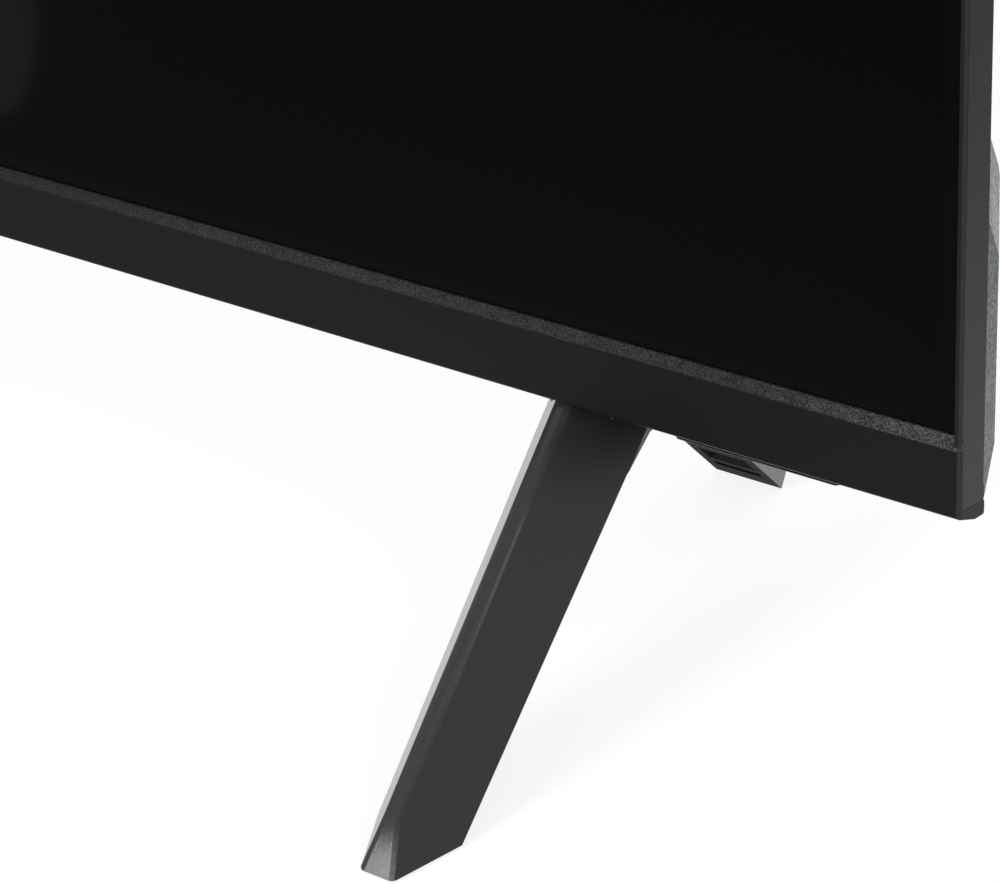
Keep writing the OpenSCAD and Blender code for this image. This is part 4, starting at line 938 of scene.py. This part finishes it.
class MakeBezel(bpy.types.Operator):
    """Rounds the lower bezel and grains its lip"""

    bl_idname = "television.make_bezel"
    bl_label = "Lower bezel"

    def execute(self, context):
        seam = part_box("bottom_bezel")[1].x - FRAME_WALL - SEAT_GAP

        def is_outer(edge):
            return not lies_at(edge, seam) and not beside_foot(edge)

        rounded_piece("bottom_bezel", (settings().bezel_round, is_outer))
        return {"FINISHED"}


class MakeFrames(bpy.types.Operator):
    """Rounds and paints the side and top frames"""

    bl_idname = "television.make_frames"
    bl_label = "Frames"

    def execute(self, context):
        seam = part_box("right_frame")[1].x - FRAME_WALL
        for name in ("left_frame", "right_frame", "top_frame"):
            rounded_piece(name, (settings().frame_round, lambda edge: not lies_at(edge, seam)))
        return {"FINISHED"}


class MakeFeet(bpy.types.Operator):
    """Rounds the feet's edges and dresses their pads"""

    bl_idname = "television.make_feet"
    bl_label = "Feet"

    def execute(self, context):
        ridges = settings().ridge_round, is_ridge, False
        others = settings().foot_round, every_edge
        for name in ("left_foot", "right_foot"):
            foot = rounded_piece(name, ridges, others)
            foot.data.materials.append(finish_for("foot_inside"))
            # Faces that look downward get the darker inner finish, which is painted shade.
            for face in foot.data.polygons:
                face.material_index = int(face.normal.z < UNDERSIDE)
        dress("foot_pads")
        return {"FINISHED"}


class MakeRearCover(bpy.types.Operator):
    """Rounds the rear cover's long edges and grains it"""

    bl_idname = "television.make_rear_cover"
    bl_label = "Rear cover"

    def execute(self, context):
        rounded_piece("rear_cover", (settings().cover_round, is_back_edge))
        dress("cover_screws")
        return {"FINISHED"}


class MakePod(bpy.types.Operator):
    """Rounds the sensor pod and dresses its window, board and button"""

    bl_idname = "television.make_pod"
    bl_label = "Sensor pod"

    def execute(self, context):
        rounded_piece("sensor_pod", (settings().pod_round, every_edge))
        dress("sensor_lens", "key_board", "power_button")
        return {"FINISHED"}


class DressSockets(bpy.types.Operator):
    """Dresses the sockets in the plug bays and the wall mount sleeves"""

    bl_idname = "television.dress_sockets"
    bl_label = "Sockets and sleeves"

    def execute(self, context):
        dress("hdmi_sockets", "usb_socket", "network_socket", "antenna_socket", "audio_jacks", "power_inlet",
              "vesa_sleeves")
        return {"FINISHED"}


class DressBacklight(bpy.types.Operator):
    """Dresses the panel's driver, sheets, lamps and tray"""

    bl_idname = "television.dress_backlight"
    bl_label = "Backlight"

    def execute(self, context):
        dress("driver_board", "driver_tabs", "middle_frame", "prism_film", "diffuser_film", "diffuser_plate",
              "reflector_sheet", "light_bars", "light_lenses", "diffuser_posts", "back_tray")
        return {"FINISHED"}


class DressElectronics(bpy.types.Operator):
    """Dresses the boards, their components, the speakers and the brackets"""

    bl_idname = "television.dress_electronics"
    bl_label = "Boards and speakers"

    def execute(self, context):
        dress("main_board", "power_board", "panel_ribbon", "heat_sink", "transformer", "capacitors",
              "board_screws", "left_speaker", "right_speaker", "speaker_cones", "left_foot_bracket",
              "right_foot_bracket", "foot_screws")
        return {"FINISHED"}


# Stage

FLOOR_COLOUR = (0.3, 0.3, 0.3, 1)
# How far the floor lies under the pads.
FLOOR_DROP = 0.1 * MM
# The floor's own light where the camera sees it, and where the set mirrors it, near the right foot
# and far away.
SEEN_GLOW = 0.8
GLOW_NEAR = 1.0
GLOW_FAR = 0.45
# Middle of the mirrored light, and the distances from there at which it starts and ends to fade.
GLOW_MIDDLE = (0.3, 0.02, 0.0)
GLOW_CORE = 0.05
GLOW_REACH = 0.38
SKY_COLOUR = (1, 1, 1, 1)

# The lamps' places, with angles in degrees. The card lamp stands low in front on the left, where the
# screen's left part mirrors it.
LAMP_TARGET = (0.2, 0.0, 0.15)
KEY_LAMP = dict(target=LAMP_TARGET, azimuth=-20.0, elevation=19.0, distance=2.0, width=0.6, height=0.6)
FILL_LAMP = dict(target=LAMP_TARGET, azimuth=60.0, elevation=34.0, distance=2.4, width=1.6, height=1.2)
CARD_LAMP = dict(target=(0.1403, -0.0064, 0.127), azimuth=-44.3, elevation=-25.4, distance=0.15, width=0.028,
                 height=0.071, shape="ELLIPSE")

# The camera's sensor in millimetres, and how near and far it sees.
SENSOR_WIDTH = 36.0
CLIP_START = 0.01
CLIP_END = 100.0


def floor_finish():
    """White paper floor: even white where it is seen, with the object's shadow left on it."""
    material = bpy.data.materials.new("stage_floor")
    material.use_nodes = True
    tree = material.node_tree
    tree.nodes.remove(tree.nodes["Principled BSDF"])
    paper = node(tree, "ShaderNodeBsdfDiffuse")
    set_inputs(tree, paper, Color=FLOOR_COLOUR)
    path = node(tree, "ShaderNodeLightPath").outputs
    away = node(tree, "ShaderNodeVectorMath", operation="DISTANCE")
    feed(tree, object_place(tree), away.inputs[0])
    feed(tree, GLOW_MIDDLE, away.inputs[1])
    near = ramp(tree, away.outputs["Value"], GLOW_REACH, GLOW_CORE)
    mirrored = reckon(tree, "MULTIPLY_ADD", near, GLOW_NEAR - GLOW_FAR, GLOW_FAR)
    mirrored = reckon(tree, "MULTIPLY", mirrored, path["Is Glossy Ray"])
    direct = reckon(tree, "MAXIMUM", path["Is Camera Ray"], path["Is Transmission Ray"])
    glow = node(tree, "ShaderNodeEmission")
    set_inputs(tree, glow, Strength=reckon(tree, "MULTIPLY_ADD", direct, SEEN_GLOW, mirrored))
    both = node(tree, "ShaderNodeAddShader")
    feed(tree, paper.outputs[0], both.inputs[0])
    feed(tree, glow.outputs[0], both.inputs[1])
    set_inputs(tree, tree.nodes["Material Output"], Surface=both.outputs[0])
    return material


def make_floor(size):
    """The floor that the feet stand on."""
    bm = bmesh.new()
    bmesh.ops.create_grid(bm, x_segments=1, y_segments=1, size=size / 2)
    floor = mesh_object("stage_floor", bm)
    floor.data.materials.append(floor_finish())
    floor.location.z = -FLOOR_DROP


def seen_rays(tree):
    """1 for rays from the camera, a reflection or clear material, and 0 for rays that only carry light."""
    path = node(tree, "ShaderNodeLightPath").outputs
    mirrored = reckon(tree, "MAXIMUM", path["Is Glossy Ray"], path["Is Transmission Ray"])
    return reckon(tree, "MAXIMUM", path["Is Camera Ray"], mirrored)


def make_sky(strength):
    """Even light from all round, white where it is seen or mirrored."""
    world = bpy.data.worlds.new("stage_sky")
    world.use_nodes = True
    tree = world.node_tree
    tree.nodes.clear()
    light = node(tree, "ShaderNodeBackground")
    set_inputs(tree, light, Color=SKY_COLOUR, Strength=strength)
    white = node(tree, "ShaderNodeBackground")
    set_inputs(tree, white, Color=SKY_COLOUR)
    either = node(tree, "ShaderNodeMixShader")
    feed(tree, seen_rays(tree), either.inputs[0])
    feed(tree, light.outputs[0], either.inputs[1])
    feed(tree, white.outputs[0], either.inputs[2])
    set_inputs(tree, node(tree, "ShaderNodeOutputWorld"), Surface=either.outputs[0])
    bpy.context.scene.world = world


def direction(turn, lift):
    """The way to a place round the set: a turn of 0 is in front, and a plus turns it to the right."""
    return Vector((math.sin(turn) * math.cos(lift), -math.cos(turn) * math.cos(lift), math.sin(lift)))


def make_lamp(name, power, target, azimuth, elevation, distance, width, height, shape="RECTANGLE"):
    """A soft box that faces a target."""
    lamp = bpy.data.lights.new(name, "AREA")
    lamp.shape = shape
    lamp.size = width
    lamp.size_y = height
    lamp.energy = power
    holder = add_object(name, lamp)
    away = direction(math.radians(azimuth), math.radians(elevation))
    holder.location = Vector(target) + away * distance
    holder.rotation_mode = "QUATERNION"
    holder.rotation_quaternion = away.to_track_quat("Z", "Y")
    holder.visible_camera = False


def make_camera(stage):
    """A camera at the photograph's angle."""
    data = bpy.data.cameras.new("photo_camera")
    data.sensor_fit = "HORIZONTAL"
    data.sensor_width = SENSOR_WIDTH
    data.lens = stage.camera_lens
    data.clip_start = CLIP_START
    data.clip_end = CLIP_END
    back = direction(stage.camera_azimuth, stage.camera_elevation)
    side = (-back).cross(Vector((0, 0, 1))).normalized()
    upright = Matrix((side, back.cross(side), back)).transposed()
    turned = upright @ Matrix.Rotation(stage.camera_roll, 3, "Z")
    camera = add_object("photo_camera", data)
    camera.matrix_world = Matrix.Translation(Vector(stage.camera_place)) @ turned.to_4x4()
    bpy.context.scene.camera = camera


class MakeStage(bpy.types.Operator):
    """Makes the floor, the sky, the lamps and the camera"""

    bl_idname = "television.make_stage"
    bl_label = "Stage"

    def execute(self, context):
        stage = context.scene.television_stage
        context.scene.view_settings.view_transform = "Standard"
        make_floor(stage.floor_size)
        make_sky(stage.sky_light)
        make_lamp("key_lamp", stage.key_power, **KEY_LAMP)
        make_lamp("fill_lamp", stage.fill_power, **FILL_LAMP)
        make_lamp("card_lamp", stage.card_power, **CARD_LAMP)
        make_camera(stage)
        return {"FINISHED"}


# The add-on

OPERATORS = (
    DressScreen, MakeBezel, MakeFrames, MakeFeet, MakeRearCover, MakePod, DressSockets, DressBacklight,
    DressElectronics, MakeStage,
)


class TelevisionPanel(bpy.types.Panel):
    """The television's finishes, stage and making steps"""

    bl_idname = "VIEW3D_PT_television"
    bl_label = "Television"
    bl_space_type = "VIEW_3D"
    bl_region_type = "UI"
    bl_category = "Television"

    def draw(self, context):
        scene = context.scene
        for title, group in (("Finish", scene.television_finish), ("Stage", scene.television_stage)):
            box = self.layout.box()
            box.label(text=title)
            for key in group.__annotations__:
                box.prop(group, key)
        for operator in OPERATORS:
            self.layout.operator(operator.bl_idname)


CLASSES = (TelevisionFinish, TelevisionStage, *OPERATORS, TelevisionPanel)


def register():
    """Adds the add-on's classes and settings."""
    for each in CLASSES:
        bpy.utils.register_class(each)
    bpy.types.Scene.television_finish = PointerProperty(type=TelevisionFinish)
    bpy.types.Scene.television_stage = PointerProperty(type=TelevisionStage)


def unregister():
    """Takes the add-on's settings and classes away."""
    del bpy.types.Scene.television_stage
    del bpy.types.Scene.television_finish
    for each in reversed(CLASSES):
        bpy.utils.unregister_class(each)


def main():
    """Makes every piece and the stage."""
    register()
    steps = bpy.ops.television
    for step in (
        steps.dress_screen, steps.make_bezel, steps.make_frames, steps.make_feet, steps.make_rear_cover,
        steps.make_pod, steps.dress_sockets, steps.dress_backlight, steps.dress_electronics,
        steps.make_stage,
    ):
        step()


if __name__ == "__main__":
    main()
